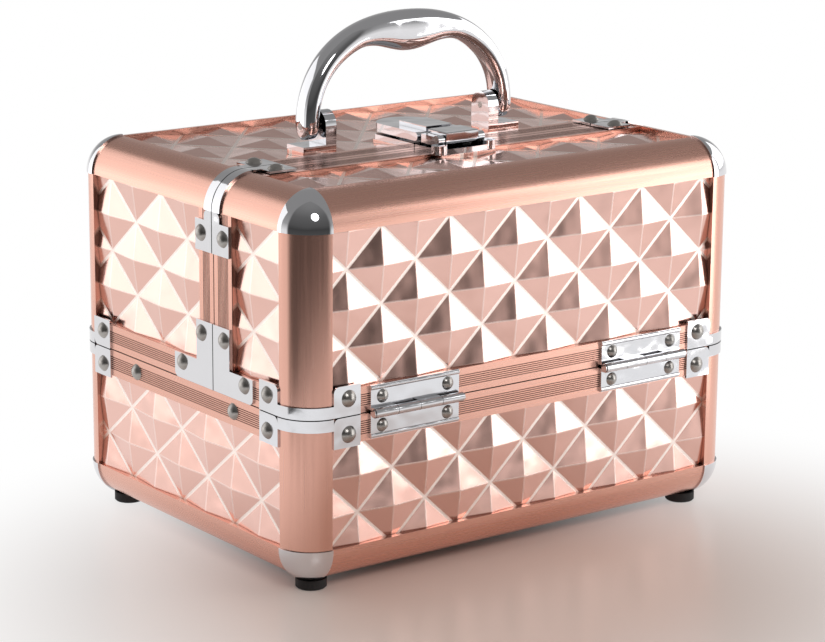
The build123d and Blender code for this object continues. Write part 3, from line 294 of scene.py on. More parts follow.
@dataclass
class SharedGroups:
    """The shader node groups of the finishes, each made once, with the numbers that all their uses share."""

    grain_detail: float = 3.0
    smear_scale: float = 55.0
    smear_detail: float = 4.0
    smear_warp: float = 0.8
    smear_span: Pair = (0.5, 0.8)
    hair_scale: float = 120.0
    hair_turn: Triple = (0.4, 0.7, 0.5)
    hair_stretch: Triple = (1.0, 30.0, 1.0)
    hair_span: Pair = (0.68, 0.8)
    # How closed in a place must be to get painted shade, and the samples of the occlusion that finds it.
    closed_span: Pair = (0.62, 0.18)
    closed_samples: int = 8
    groove_mm: float = 0.3
    groove_play_mm: float = 0.2
    # The dark colour of the painted shade in the rib grooves.
    groove_shade_tone: Tone = Tone(92, 58, 48)
    ridges_per_pyramid: float = 2.0
    thread_warp: float = 0.6
    thread_gap: float = 0.3
    thread_colour_share: float = 0.4

    def __post_init__(self) -> None:
        """Make every group."""
        self.grain = self._grain()
        self.drift = self._drift()
        self.scuffs = self._scuffs()
        self.painted_crevice_shade = self._painted_crevice_shade()
        self.ribs = self._ribs()
        self.emboss = self._emboss()
        self.weave = self._weave()

    @staticmethod
    def _start(
        name: str, takes: dict[str, SocketKind], gives: dict[str, SocketKind]
    ) -> tuple[Wiring, bpy.types.Node, bpy.types.Node]:
        """Make an empty group with its sockets.

        Args:
            name: The group's name.
            takes: Its inputs.
            gives: Its outputs.

        Returns:
            The group's wiring, its input node and its output node.
        """
        tree = bpy.data.node_groups.new(name, "ShaderNodeTree")
        for direction, sockets in (("INPUT", takes), ("OUTPUT", gives)):
            for label, kind in sockets.items():
                tree.interface.new_socket(name=label, in_out=direction, socket_type=kind.value)
        wires = Wiring(tree)
        return wires, wires.add("NodeGroupInput"), wires.add("NodeGroupOutput")

    def _grain(self) -> bpy.types.NodeTree:
        """Make the fine lines that run one way on drawn or brushed metal.

        Returns:
            The group's tree.
        """
        wires, taken, given = self._start(
            "metal_grain",
            {"Run": VECTOR, "Scale": NUMBER, "Roughness": NUMBER, "Spread": NUMBER},
            {"Roughness": NUMBER, "Height": NUMBER},
        )
        stretched = wires.vectors("MULTIPLY", "run of the grain", wires.spot(), taken.outputs["Run"])
        lines = wires.noise("grain lines", stretched, taken.outputs["Scale"], self.grain_detail)
        centred = wires.maths("SUBTRACT", lines, 0.5)
        swing = wires.maths("MULTIPLY", centred, taken.outputs["Spread"])
        wires.fill(given, Roughness=wires.maths("ADD", taken.outputs["Roughness"], swing), Height=lines)
        return wires.tree

    def _drift(self) -> bpy.types.NodeTree:
        """Make the slow drift of a colour over the surface.

        Returns:
            The group's tree.
        """
        wires, taken, given = self._start(
            "colour_drift",
            {"Colour": COLOUR, "Other": COLOUR, "Scale": NUMBER, "Amount": NUMBER},
            {"Colour": COLOUR, "Mask": NUMBER},
        )
        clouds = wires.noise("slow clouds", wires.spot(), taken.outputs["Scale"])
        share = wires.maths("MULTIPLY", clouds, taken.outputs["Amount"])
        drifted = wires.blend("drift", share, taken.outputs["Colour"], taken.outputs["Other"])
        wires.fill(given, Colour=drifted, Mask=clouds)
        return wires.tree

    def _scuffs(self) -> bpy.types.NodeTree:
        """Make the faint smears and hairlines that break up a polished surface.

        Returns:
            The group's tree.
        """
        wires, taken, given = self._start(
            "scuffs",
            {"Roughness": NUMBER, "Smears": NUMBER, "Hairlines": NUMBER},
            {"Roughness": NUMBER, "Height": NUMBER},
        )
        where = wires.spot()
        smears = wires.noise("smears", where, self.smear_scale, self.smear_detail, self.smear_warp)
        strong = wires.ranged("only the strong smears", smears, self.smear_span)
        turned = wires.add("ShaderNodeMapping", "lie of the hairlines")
        wires.fill(turned, Vector=where, Rotation=self.hair_turn, Scale=self.hair_stretch)
        hairs = wires.noise("hairlines", turned.outputs["Vector"], self.hair_scale)
        deep = wires.ranged("only the deep hairlines", hairs, self.hair_span)
        worn = wires.maths(
            "ADD",
            wires.maths("MULTIPLY", strong, taken.outputs["Smears"]),
            wires.maths("MULTIPLY", deep, taken.outputs["Hairlines"]),
        )
        wires.fill(given, Roughness=wires.maths("ADD", taken.outputs["Roughness"], worn), Height=smears)
        return wires.tree

    def _painted_crevice_shade(self) -> bpy.types.NodeTree:
        """Make painted shade in closed-in places, such as under rivet heads and along the panels' edges,
        where the ambient occlusion finds the surface closed in.

        Returns:
            The group's tree.
        """
        wires, taken, given = self._start(
            "painted_crevice_shade",
            {"Colour": COLOUR, "Tarnish": COLOUR, "Reach": NUMBER},
            {"Colour": COLOUR, "Mask": NUMBER},
        )
        # Painted shade: the colour darkens towards the given dark colour where the occlusion finds nearby
        # surfaces.
        nearness = wires.add("ShaderNodeAmbientOcclusion", "how open it is", samples=self.closed_samples)
        wires.fill(nearness, Distance=taken.outputs["Reach"])
        closed = wires.ranged("only the closest places", nearness.outputs["AO"], self.closed_span)
        crevice_shaded = wires.blend("crevice_shaded", closed, taken.outputs["Colour"], taken.outputs["Tarnish"])
        wires.fill(given, Colour=crevice_shaded, Mask=closed)
        return wires.tree

    def _ribs(self) -> bpy.types.NodeTree:
        """Make painted shade in the grooves of ribbed faces, which lie a little behind the planes of those
        faces.

        Returns:
            The group's tree.
        """
        wires, taken, given = self._start(
            "rib_groove_shade",
            {"Colour": COLOUR, "Faces": VECTOR, "Soil": NUMBER},
            {"Colour": COLOUR, "Mask": NUMBER},
        )
        reach = wires.vectors("ABSOLUTE", "distance from the middle", wires.spot())
        depth = wires.vectors("SUBTRACT", "depth behind each face", taken.outputs["Faces"], reach)
        split = wires.add("ShaderNodeSeparateXYZ")
        wires.fill(split, Vector=depth)
        in_x, in_y, in_z = (
            wires.maths("COMPARE", split.outputs[axis], self.groove_mm * MM, self.groove_play_mm * MM)
            for axis in "XYZ"
        )
        mask = wires.maths("MAXIMUM", wires.maths("MAXIMUM", in_x, in_y), in_z)
        # Painted shade: the grooves are darkened towards a dark colour.
        share = wires.maths("MULTIPLY", mask, taken.outputs["Soil"])
        groove_shaded = wires.blend("groove_shaded", share, taken.outputs["Colour"], self.groove_shade_tone.linear())
        wires.fill(given, Colour=groove_shaded, Mask=mask)
        return wires.tree

    def _emboss(self) -> bpy.types.NodeTree:
        """Make the lines of the pressed pattern: the creases between pyramids and the ridges over them.

        Along and Up turn a place into a count of pyramids from the Star, and Crease and Ridge are the half
        widths of the lines, in pyramids.

        Returns:
            The group's tree.
        """
        wires, taken, given = self._start(
            "emboss_lines",
            {"Along": VECTOR, "Up": VECTOR, "Star": VECTOR,
             "Crease": NUMBER, "Ridge": NUMBER, "Slope": NUMBER},
            {"Creases": NUMBER, "Ridges": NUMBER},
        )
        place = wires.vectors("SUBTRACT", "from the star", wires.spot(), taken.outputs["Star"])
        steps = [
            wires.vectors("DOT_PRODUCT", f"pyramids {side.lower()}", place, taken.outputs[side])
            for side in ("Along", "Up")
        ]
        crossings = [wires.maths(sign, *steps) for sign in ("ADD", "SUBTRACT")]
        peaks = [wires.maths("MULTIPLY", step, self.ridges_per_pyramid) for step in steps]
        for name, width, lines in (("Creases", "Crease", crossings), ("Ridges", "Ridge", peaks)):
            nearest = wires.maths("MINIMUM", *(wires.maths("PINGPONG", line, 0.5) for line in lines))
            reach = wires.maths("DIVIDE", nearest, taken.outputs[width])
            fade = wires.maths("MULTIPLY", wires.maths("SUBTRACT", 1.0, reach), taken.outputs["Slope"])
            clamp = wires.add("ShaderNodeClamp", name)
            wires.fill(clamp, Value=fade)
            wires.feed(given.inputs[name], clamp.outputs[0])
        return wires.tree

    def _weave(self) -> bpy.types.NodeTree:
        """Make the plain weave of crossing threads.

        Returns:
            The group's tree.
        """
        wires, taken, given = self._start(
            "plain_weave", {"Thread": NUMBER}, {"Height": NUMBER, "Mask": NUMBER}
        )
        where = wires.spot()
        threads = []
        for axis in "XYZ":
            wave = wires.add("ShaderNodeTexWave", f"threads across {axis}", bands_direction=axis)
            wires.fill(wave, Vector=where, Scale=taken.outputs["Thread"], Distortion=self.thread_warp)
            threads.append(wave.outputs["Fac"])
        level = wires.maths("ADD", threads[0], threads[1])
        crossed = wires.maths("MULTIPLY", level, wires.maths("ADD", threads[2], self.thread_gap))
        wires.fill(given, Height=crossed, Mask=wires.maths("MULTIPLY", crossed, self.thread_colour_share))
        return wires.tree


# Finishes ------------------------------------------------------------------------------------------


@dataclass(frozen=True)
class Finish:
    """What every finish has: a name, its colour and the colour that it drifts to."""

    name: str
    tone: Tone
    shade: Tone

    def start(self) -> tuple[bpy.types.Material, Wiring, bpy.types.Node]:
        """Make an empty material with one Principled BSDF.

        Returns:
            The material, its wiring and the shader.
        """
        material = bpy.data.materials.new(self.name)
        material.use_nodes = True
        material.node_tree.nodes.clear()
        wires = Wiring(material.node_tree)
        out = wires.add("ShaderNodeOutputMaterial")
        shader = wires.add("ShaderNodeBsdfPrincipled", self.name)
        wires.fill(out, Surface=shader.outputs["BSDF"])
        return material, wires, shader

    def build(self, groups: SharedGroups) -> bpy.types.Material:
        """Make the material. Each kind of finish has its own way."""
        raise NotImplementedError

    def drift(self, wires: Wiring, groups: SharedGroups, scale: float, amount: float) -> bpy.types.Node:
        """Place the slow drift between the finish's two colours.

        Args:
            wires: The material's wiring.
            groups: The shared node groups.
            scale: How fine the drift is.
            amount: How much of the second colour it reaches.

        Returns:
            The group node.
        """
        return wires.place(
            groups.drift, Colour=self.tone.linear(), Other=self.shade.linear(), Scale=scale, Amount=amount
        )

    @staticmethod
    def relief(
        wires: Wiring, shader: bpy.types.Node, height: bpy.types.NodeSocket, depth: float
    ) -> bpy.types.Node:
        """Turn a height into the shader's normal.

        Args:
            wires: The material's wiring.
            shader: Its Principled BSDF.
            height: The height, from 0 to 1.
            depth: What a height of 1 stands for, in metres.

        Returns:
            The Bump node.
        """
        bump = wires.add("ShaderNodeBump", "relief")
        wires.fill(bump, Distance=depth, Height=height)
        wires.fill(shader, Normal=bump.outputs["Normal"])
        return bump


@dataclass(frozen=True)
class Tarnished(Finish):
    """A finish with painted shade where it is closed in, darkened there to a share of its colour."""

    # Painted shade in closed-in places: the share of the colour left there, and how far in metres the
    # occlusion looks.
    crevice_shade_share: float = field(default=0.3, kw_only=True)
    crevice_shade_reach: float = field(default=0.003, kw_only=True)

    def crevice_shaded(
        self, wires: Wiring, groups: SharedGroups, colour: bpy.types.NodeSocket
    ) -> bpy.types.NodeSocket:
        """Paint shade into a colour where the surface is closed in.

        Args:
            wires: The material's wiring.
            groups: The shared node groups.
            colour: The colour.

        Returns:
            The colour with its painted shade.
        """
        # The colour of the painted shade: the finish's own colour scaled down.
        dark = self.tone.scaled(self.crevice_shade_share).linear()
        node = wires.place(groups.painted_crevice_shade, Colour=colour, Tarnish=dark, Reach=self.crevice_shade_reach)
        return node.outputs["Colour"]


@dataclass(frozen=True)
class Metal(Tarnished):
    """A bare, plated or anodised metal, with depths in metres."""

    roughness: float
    grain: Grain = Grain.EVERY_WAY
    end_grain: Grain | None = None
    grain_scale: float = 900.0
    grain_spread: float = 0.1
    grain_depth: float = 0.0
    smears: float = 0.0
    hairlines: float = 0.0
    dent_scale: float = 0.0
    dent_depth: float = 0.0
    rib_faces: Triple | None = None
    # How far the rib grooves are darkened with painted shade.
    rib_groove_shade: float = 0.62
    drift_scale: float = 22.0
    drift_amount: float = 0.55

    def build(self, groups: SharedGroups) -> bpy.types.Material:
        """Make the material.

        Args:
            groups: The shared node groups.

        Returns:
            The material.
        """
        material, wires, shader = self.start()
        colour = self.drift(wires, groups, self.drift_scale, self.drift_amount).outputs["Colour"]
        # Painted shade in closed-in places, such as round rivet heads.
        colour = self.crevice_shaded(wires, groups, colour)
        # Painted shade in the grooves of ribbed bars.
        if self.rib_faces:
            groove_shaded = wires.place(groups.ribs, Colour=colour, Faces=self.rib_faces, Soil=self.rib_groove_shade)
            colour = groove_shaded.outputs["Colour"]
        wires.fill(shader, Metallic=1.0, Base_Color=colour)
        run = self.grain.value if self.end_grain is None else self.run_of_bars(wires)
        grain = wires.place(
            groups.grain, Run=run, Scale=self.grain_scale, Roughness=self.roughness, Spread=self.grain_spread
        )
        worn = wires.place(
            groups.scuffs, Roughness=grain.outputs["Roughness"], Smears=self.smears, Hairlines=self.hairlines
        )
        wires.fill(shader, Roughness=worn.outputs["Roughness"])
        if self.grain_depth:
            self.relief(wires, shader, grain.outputs["Height"], self.grain_depth)
        if self.dent_depth:
            dents = self.drift(wires, groups, self.dent_scale, 0.0)
            self.relief(wires, shader, dents.outputs["Mask"], self.dent_depth)
        return material

    def run_of_bars(self, wires: Wiring) -> bpy.types.NodeSocket:
        """Run the grain its own way on the bars of the end faces.

        Args:
            wires: The material's wiring.

        Returns:
            The run, as the grain group takes it.
        """
        split = wires.add("ShaderNodeSeparateXYZ")
        wires.fill(split, Vector=wires.spot())
        reach = wires.maths("ABSOLUTE", split.outputs["X"])
        on_end = wires.maths("GREATER_THAN", reach, END_BARS_FROM * MM)
        return wires.blend("which bar", on_end, self.grain.value, self.end_grain.value, "VECTOR")


class PanelFace(Enum):
    """The two axes that the diagonals of a panel's pyramids follow."""

    LONG = "XZ"
    END = "YZ"
    TOP = "XY"


@dataclass(frozen=True)
class Pattern:
    """Where a panel's pyramids are: the way it faces, and a point in millimetres where four of them meet."""

    face: PanelFace
    star: Triple

    def steps(self) -> list[Triple]:
        """Return the directions of the two diagonals, each divided by its length."""
        return [
            tuple(1.0 / (PITCH[axis] * MM) if axis == way else 0.0 for axis in "XYZ")
            for way in self.face.value
        ]


@dataclass(frozen=True)
class EmbossedFilm(Tarnished):
    """Metallised plastic film pressed over a board: mirror-like, a little wavy, with a painted highlight
    along its creases and ridges, partly the film's own paleness where it is stretched.
    """

    pattern: Pattern
    # Painted highlight on the creases and ridges, partly the paler colour of stretched film.
    crease_highlight_tone: Tone = Tone(255, 240, 232)
    roughness: float = 0.17
    crease_roughness: float = 0.25
    smears: float = 0.08
    hairlines: float = 0.05
    coat: float = 0.35
    coat_roughness: float = 0.12
    drift_scale: float = 30.0
    drift_amount: float = 0.5
    wave_scale: float = 70.0
    wave_depth: float = 0.0004
    crease: float = 0.034
    ridge: float = 0.03
    # How much of the painted highlight the ridges get.
    ridge_highlight_share: float = 0.35
    line_slope: float = 2.5
    soften: float = 0.0009
    soften_samples: int = 6

    def build(self, groups: SharedGroups) -> bpy.types.Material:
        """Make the material.

        Args:
            groups: The shared node groups.

        Returns:
            The material.
        """
        material, wires, shader = self.start()
        wires.fill(shader, Metallic=1.0, Coat_Weight=self.coat, Coat_Roughness=self.coat_roughness)
        colour = self.drift(wires, groups, self.drift_scale, self.drift_amount).outputs["Colour"]
        stretched = self.stretched(wires, groups)
        # Painted highlight: the creases and ridges go near white, partly the film's paleness where it is
        # stretched.
        pale = wires.blend("stretched film is paler", stretched, colour, self.crease_highlight_tone.linear())
        # Painted shade along the panel's edges, where the frame closes it in.
        wires.fill(shader, Base_Color=self.crevice_shaded(wires, groups, pale))
        worn = wires.place(
            groups.scuffs, Roughness=self.roughness, Smears=self.smears, Hairlines=self.hairlines
        )
        spread = wires.maths("MULTIPLY", stretched, self.crease_roughness)
        wires.fill(shader, Roughness=wires.maths("ADD", worn.outputs["Roughness"], spread))
        waves = wires.noise("slack in the film", wires.spot(), self.wave_scale, detail=1.0)
        bump = self.relief(wires, shader, waves, self.wave_depth)
        rounded = wires.add("ShaderNodeBevel", "rounded pressing", samples=self.soften_samples)
        wires.fill(rounded, Radius=self.soften)
        wires.fill(bump, Normal=rounded.outputs["Normal"])
        return material

    def stretched(self, wires: Wiring, groups: SharedGroups) -> bpy.types.NodeSocket:
        """Find the pattern's creases and ridges, where the film is drawn thin and the painted highlight goes.

        Args:
            wires: The material's wiring.
            groups: The shared node groups.

        Returns:
            How much painted highlight and stretching there is, from 0 to 1.
        """
        along, up = self.pattern.steps()
        star = tuple(part * MM for part in self.pattern.star)
        lines = wires.place(
            groups.emboss, Along=along, Up=up, Star=star, Crease=self.crease, Ridge=self.ridge,
            Slope=self.line_slope,
        )
        ridges = wires.maths("MULTIPLY", lines.outputs["Ridges"], self.ridge_highlight_share)
        return wires.maths("MAXIMUM", lines.outputs["Creases"], ridges)


@dataclass(frozen=True)
class Moulded(Finish):
    """Plastic or rubber with a fine even texture."""

    roughness: float
    texture_scale: float
    texture_depth: float
    texture_spread: float = 0.15
    smears: float = 0.06
    hairlines: float = 0.04
    drift_scale: float = 40.0
    drift_amount: float = 0.8

    def build(self, groups: SharedGroups) -> bpy.types.Material:
        """Make the material.

        Args:
            groups: The shared node groups.

        Returns:
            The material.
        """
        material, wires, shader = self.start()
        colour = self.drift(wires, groups, self.drift_scale, self.drift_amount)
        wires.fill(shader, Base_Color=colour.outputs["Colour"])
        grain = wires.place(
            groups.grain, Run=Grain.EVERY_WAY.value, Scale=self.texture_scale, Roughness=self.roughness,
            Spread=self.texture_spread,
        )
        worn = wires.place(
            groups.scuffs, Roughness=grain.outputs["Roughness"], Smears=self.smears, Hairlines=self.hairlines
        )
        wires.fill(shader, Roughness=worn.outputs["Roughness"])
        self.relief(wires, shader, grain.outputs["Height"], self.texture_depth)
        return material


@dataclass(frozen=True)
class WovenLining(Finish):
    """Short-napped lining cloth glued to card."""

    thread_scale: float
    thread_depth: float = 0.0001
    roughness: float = 0.92
    nap: float = 0.35

    def build(self, groups: SharedGroups) -> bpy.types.Material:
        """Make the material.

        Args:
            groups: The shared node groups.

        Returns:
            The material.
        """
        material, wires, shader = self.start()
        weave = wires.place(groups.weave, Thread=self.thread_scale)
        cloth = wires.blend("thread colours", weave.outputs["Mask"], self.shade.linear(), self.tone.linear())
        wires.fill(shader, Base_Color=cloth, Roughness=self.roughness, Sheen_Weight=self.nap)
        self.relief(wires, shader, weave.outputs["Height"], self.thread_depth)
        return material


# The frame's rose gold. The bars of the end faces start at END_BARS_FROM millimetres from the middle, and
# RIBBED_FACES are the planes of the ribbed bars in metres: on the ends, on the long faces and on top.
ROSE = Tone(234, 182, 165)
ROSE_DEEP = Tone(222, 168, 150)
END_BARS_FROM = 104.2
RIBBED_FACES = (0.12, 0.0895, 0.1702)
EDGES = Metal(
    "anodised_edges", ROSE, ROSE_DEEP, 0.27, Grain.ALONG_X, Grain.ALONG_Y, grain_spread=0.16,
    grain_depth=0.000005,
)
RIMS = replace(EDGES, name="anodised_ribbed", grain_depth=0.000004, rib_faces=RIBBED_FACES)
SPLIT_BARS = replace(RIMS, name="anodised_split_bars", end_grain=Grain.ALONG_Z)
POSTS = Metal(
    "anodised_posts", ROSE, ROSE_DEEP, 0.24, Grain.ALONG_Z, grain_scale=700.0, grain_spread=0.2,
    grain_depth=0.000009,
)

# The film, and the lengths of the pyramids' diagonals along each axis in millimetres.
FILM = Tone(238, 194, 182)
FILM_SHADE = Tone(228, 180, 166)
PITCH = {"X": 35.4, "Y": 41.7, "Z": 33.1}
PATTERNS = {
    "base_front_panel": Pattern(PanelFace.LONG, (-71.95, 0.0, 50.0)),
    "base_back_panel": Pattern(PanelFace.LONG, (71.95, 0.0, 50.0)),
    "base_end_panels": Pattern(PanelFace.END, (0.0, 48.1, 52.25)),
    "front_lid_face_panel": Pattern(PanelFace.LONG, (-95.5, 0.0, 138.1)),
    "back_lid_face_panel": Pattern(PanelFace.LONG, (95.5, 0.0, 138.1)),
    "front_lid_end_panels": Pattern(PanelFace.END, (0.0, -50.75, 140.8)),
    "back_lid_end_panels": Pattern(PanelFace.END, (0.0, 62.7, 154.4)),
    "front_lid_top_panel": Pattern(PanelFace.TOP, (0.0, -49.0, 0.0)),
    "back_lid_top_panel": Pattern(PanelFace.TOP, (0.0, -49.0, 0.0)),
}

# The fittings, the trays, the feet and the linings.
CHROME = Metal(
    "polished_chrome", Tone(226, 226, 229), Tone(214, 214, 218), 0.05, grain_spread=0.02, smears=0.05,
    hairlines=0.06, dent_scale=45.0, dent_depth=0.0004,
)
PRESSED_CHROME = replace(
    CHROME, name="pressed_chrome", roughness=0.07, smears=0.06, hairlines=0.08, dent_scale=50.0,
    dent_depth=0.0007,
)
STEEL = Metal("dull_rivet_steel", Tone(176, 172, 168), Tone(150, 145, 140), 0.3, smears=0.15, hairlines=0.1)
ARM_STEEL = Metal(
    "pressed_arm_steel", Tone(196, 196, 198), Tone(176, 176, 178), 0.26, Grain.ALONG_Y, grain_spread=0.2,
    grain_depth=0.000004, smears=0.1, hairlines=0.1,
)
RUBBER = Moulded("foot_rubber", Tone(38, 37, 38), Tone(28, 27, 28), 0.7, 1800.0, 0.00006)
TRAY_PLASTIC = Moulded("tray_plastic", Tone(46, 44, 45), Tone(38, 36, 37), 0.5, 2400.0, 0.00004)
BOARD_FACE = Moulded("floor_board_face", Tone(48, 45, 45), Tone(36, 34, 34), 0.62, 1500.0, 0.00008)
LINING = WovenLining("lining_cloth", Tone(58, 54, 55), Tone(24, 22, 23), 260.0)


class Workshop:
    """Makes each finish once and puts it on CAD nodes."""

    def __init__(self, nodes: dict[str, bpy.types.Object]) -> None:
        """Start with the loaded model.

        Args:
            nodes: The CAD objects by node name.
        """
        self.nodes = nodes
        self.groups = SharedGroups()
        self.made: dict[str, bpy.types.Material] = {}

    def material(self, finish: Finish) -> bpy.types.Material:
        """Find a finish's material, or make it at its first use.

        Args:
            finish: The finish.

        Returns:
            The material.
        """
        if finish.name not in self.made:
            self.made[finish.name] = finish.build(self.groups)
        return self.made[finish.name]

    def dress(self, node: str, finish: Finish) -> None:
        """Put a finish on every slot of a CAD node.

        Args:
            node: The node's name.
            finish: Its finish.
        """
        for slot in self.nodes[node].material_slots:
            slot.material = self.material(finish)
        LOG.info("%s wears %s", node, finish.name)

    def dress_all(self, finishes: dict[str, Finish], prefix: str = "") -> None:
        """Put their finishes on several CAD nodes.

        Args:
            finishes: The finishes by node name.
            prefix: What all the names start with.
        """
        for name, finish in finishes.items():
            self.dress(prefix + name, finish)


# The case ------------------------------------------------------------------------------------------

# The pieces that the base and each lid have alike.
FRAME_PIECES = {
    "corner_posts": POSTS,
    "edge_profiles": EDGES,
    "rims": RIMS,
    "linings": LINING,
    "corner_caps": CHROME,
    "seam_brackets": PRESSED_CHROME,
    "hinge_leaves": PRESSED_CHROME,
    "rivets": STEEL,
}


@dataclass
class Base:
    """The lower half: frame, floor, feet, linings and the fittings on them."""

    shop: Workshop

    def dress(self) -> None:
        """Finish every node of the base but its panels."""
        self.shop.dress_all(FRAME_PIECES, "base_")
        self.shop.dress_all({
            "base_floor_board": BOARD_FACE,
            "base_arm_studs": STEEL,
            "hinge_pins": CHROME,
            "feet": RUBBER,
        })


class Side(Enum):
    """The two lids."""

    FRONT = "front"
    BACK = "back"


@dataclass
class Lid:
    """One of the two lids, with the tray and arms that move with it."""

    shop: Workshop
    side: Side

    def dress(self) -> None:
        """Finish every node of the lid but its panels, and those of its tray and arms."""
        self.shop.dress_all(FRAME_PIECES, f"{self.side.value}_lid_")
        others = {
            "lid_split_profiles": SPLIT_BARS,
            "lid_split_straps": PRESSED_CHROME,
            "lid_foot_brackets": PRESSED_CHROME,
            "lid_tray_studs": STEEL,
            "tray": TRAY_PLASTIC,
            "tray_dividers": TRAY_PLASTIC,
            "tray_arms": ARM_STEEL,
        }
        self.shop.dress_all(others, f"{self.side.value}_")


@dataclass
class Panels:
    """The embossed panels of the base and the lids."""

    shop: Workshop

    def dress(self) -> None:
        """Cover each panel with film whose creases follow its own pyramids."""
        for node, pattern in PATTERNS.items():
            # The painted shade reaches 4 mm in from the frame along each panel.
            film = EmbossedFilm(f"film_of_{node}", FILM, FILM_SHADE, pattern, crevice_shade_reach=0.004)
            self.shop.dress(node, film)


@dataclass
class Catch:
    """The catch on top of the case: the plate and lever of one lid, and the keeper and claw of the other."""

    shop: Workshop

    def dress(self) -> None:
        """Finish the catch's nodes."""
        for piece in ("base", "lever", "keeper", "claw"):
            self.shop.dress(f"latch_{piece}", CHROME)
        for moving in ("lever", "claw"):
            self.shop.dress(f"latch_{moving}_pin", STEEL)


@dataclass
class Handle:
    """The cast handle: an arch of rounded section with a thick grip, hung on two pins. Sizes in millimetres.

    The arch's outer line is a superellipse of half_width and rise over the pins, with arch_power for its
    squareness, and section_power does the same for its sections. Its thickness is that of a leg, plus
    arch_gain rising over the arch, plus grip_bulge that swells within grip_half_length of the middle.
    """

    shop: Workshop
    half_width: float = 57.5
    rise: float = 47.2
    pivot_z: float = 180.6
    middle_y: float = 1.7
    half_depth: float = 6.3
    arch_power: float = 2.2
    leg_thickness: float = 8.0
    arch_gain: float = 3.2
    grip_bulge: float = 7.2
    grip_half_length: float = 34.0
    section_power: float = 2.5
    end_squareness: float = 0.25
    end_flat: float = 0.4
    rows: int = 72
    ring: int = 28
    end_rows: int = 7

    def dress(self) -> None:
        """Finish the handle's brackets and pins."""
        self.shop.dress("handle_brackets", CHROME)
        self.shop.dress("handle_pins", STEEL)

    def build(self) -> None:
        """Model the handle in place of its CAD node."""
        rings = [self._ring(*self._station(row / self.rows)) for row in range(self.rows + 1)]
        rings = self._end(-1.0)[::-1] + rings + self._end(1.0)
        points = [point for ring in rings for point in ring]
        faces = []
        for row in range(len(rings) - 1):
            for step in range(self.ring):
                here, there = row * self.ring, (row + 1) * self.ring
                after = (step + 1) % self.ring
                faces.append((here + step, here + after, there + after, there + step))
        faces.append(tuple(reversed(range(self.ring))))
        faces.append(tuple(range(len(points) - self.ring, len(points))))
        mesh = bpy.data.meshes.new("handle_cast")
        mesh.from_pydata([tuple(value * MM for value in point) for point in points], [], faces)
        mesh.polygons.foreach_set("use_smooth", [True] * len(mesh.polygons))
        mesh.validate()
        piece = bpy.data.objects.new("handle_cast", mesh)
        bpy.context.scene.collection.objects.link(piece)
        mesh.materials.append(self.shop.material(CHROME))
        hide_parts("handle")
        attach(piece, "handle")
        LOG.info("handle_cast with %d faces", len(mesh.polygons))

    def _station(self, share: float) -> tuple[Pair, Pair, float]:
        """Find one cross-section of the arch.

        Args:
            share: How far along the arch, from 0 at the left pin to 1 at the right one.

        Returns:
            The outer point and its outward normal, as x and z, and the thickness there.
        """
        turn = math.pi * (1.0 - share)
        cosine, sine = math.cos(turn), math.sin(turn)
        power = 2.0 / self.arch_power
        x = self.half_width * math.copysign(abs(cosine) ** power, cosine)
        z = self.rise * max(sine, 0.0) ** power
        slope_x = math.copysign((abs(x) / self.half_width) ** (self.arch_power - 1.0), x) / self.half_width
        slope_z = (z / self.rise) ** (self.arch_power - 1.0) / self.rise
        length = math.hypot(slope_x, slope_z)
        reach = min(abs(x) / self.grip_half_length, 1.0)
        thickness = self.leg_thickness + self.grip_bulge * (1.0 + math.cos(math.pi * reach)) / 2.0
        thickness += self.arch_gain * (1.0 - (x / self.half_width) ** 2)
        return (x, z), (slope_x / length, slope_z / length), thickness

    def _ring(self, outer: Pair, normal: Pair, thickness: float, deep: float = 1.0) -> list[Triple]:
        """Lay one ring of points round a cross-section.

        Args:
            outer: The section's outermost point, as x and height above the pins.
            normal: The outward direction there.
            thickness: The section's size along that direction.
            deep: The share of the full depth along Y.

        Returns:
            The ring's points in millimetres.
        """
        half = thickness / 2
        centre = (outer[0] - normal[0] * half, outer[1] - normal[1] * half)
        power = 2.0 / self.section_power
        points = []
        for step in range(self.ring):
            turn = 2 * math.pi * step / self.ring
            across = half * math.copysign(abs(math.cos(turn)) ** power, math.cos(turn))
            along = self.half_depth * deep * math.copysign(abs(math.sin(turn)) ** power, math.sin(turn))
            points.append((
                centre[0] + normal[0] * across,
                self.middle_y + along,
                self.pivot_z + centre[1] + normal[1] * across,
            ))
        return points

    def _end(self, side: float) -> list[list[Triple]]:
        """Round off a leg below its pin.

        Args:
            side: -1 for the left leg, 1 for the right one.

        Returns:
            The rings from the pin downwards.
        """
        rings = []
        for row in range(1, self.end_rows + 1):
            turn = math.pi / 2 * row / (self.end_rows + self.end_flat)
            drop = self.half_depth * math.sin(turn)
            thickness = self.leg_thickness * math.cos(turn) ** self.end_squareness
            outer = (side * (self.half_width - (self.leg_thickness - thickness) / 2), -drop)
            rings.append(self._ring(outer, (side, 0.0), thickness, math.cos(turn)))
        return rings


# The studio ----------------------------------------------------------------------------------------


def heading(azimuth_deg: float, elevation_deg: float) -> Vector:
    """Return the direction at an angle round from +X towards +Y, and an angle above level."""
    azimuth, elevation = math.radians(azimuth_deg), math.radians(elevation_deg)
    return Vector((
        math.cos(azimuth) * math.cos(elevation),
        math.sin(azimuth) * math.cos(elevation),
        math.sin(elevation),
    ))


class LampShape(Enum):
    """Blender's names of the lamps' outlines."""

    BOX = "RECTANGLE"
    ROUND = "DISK"


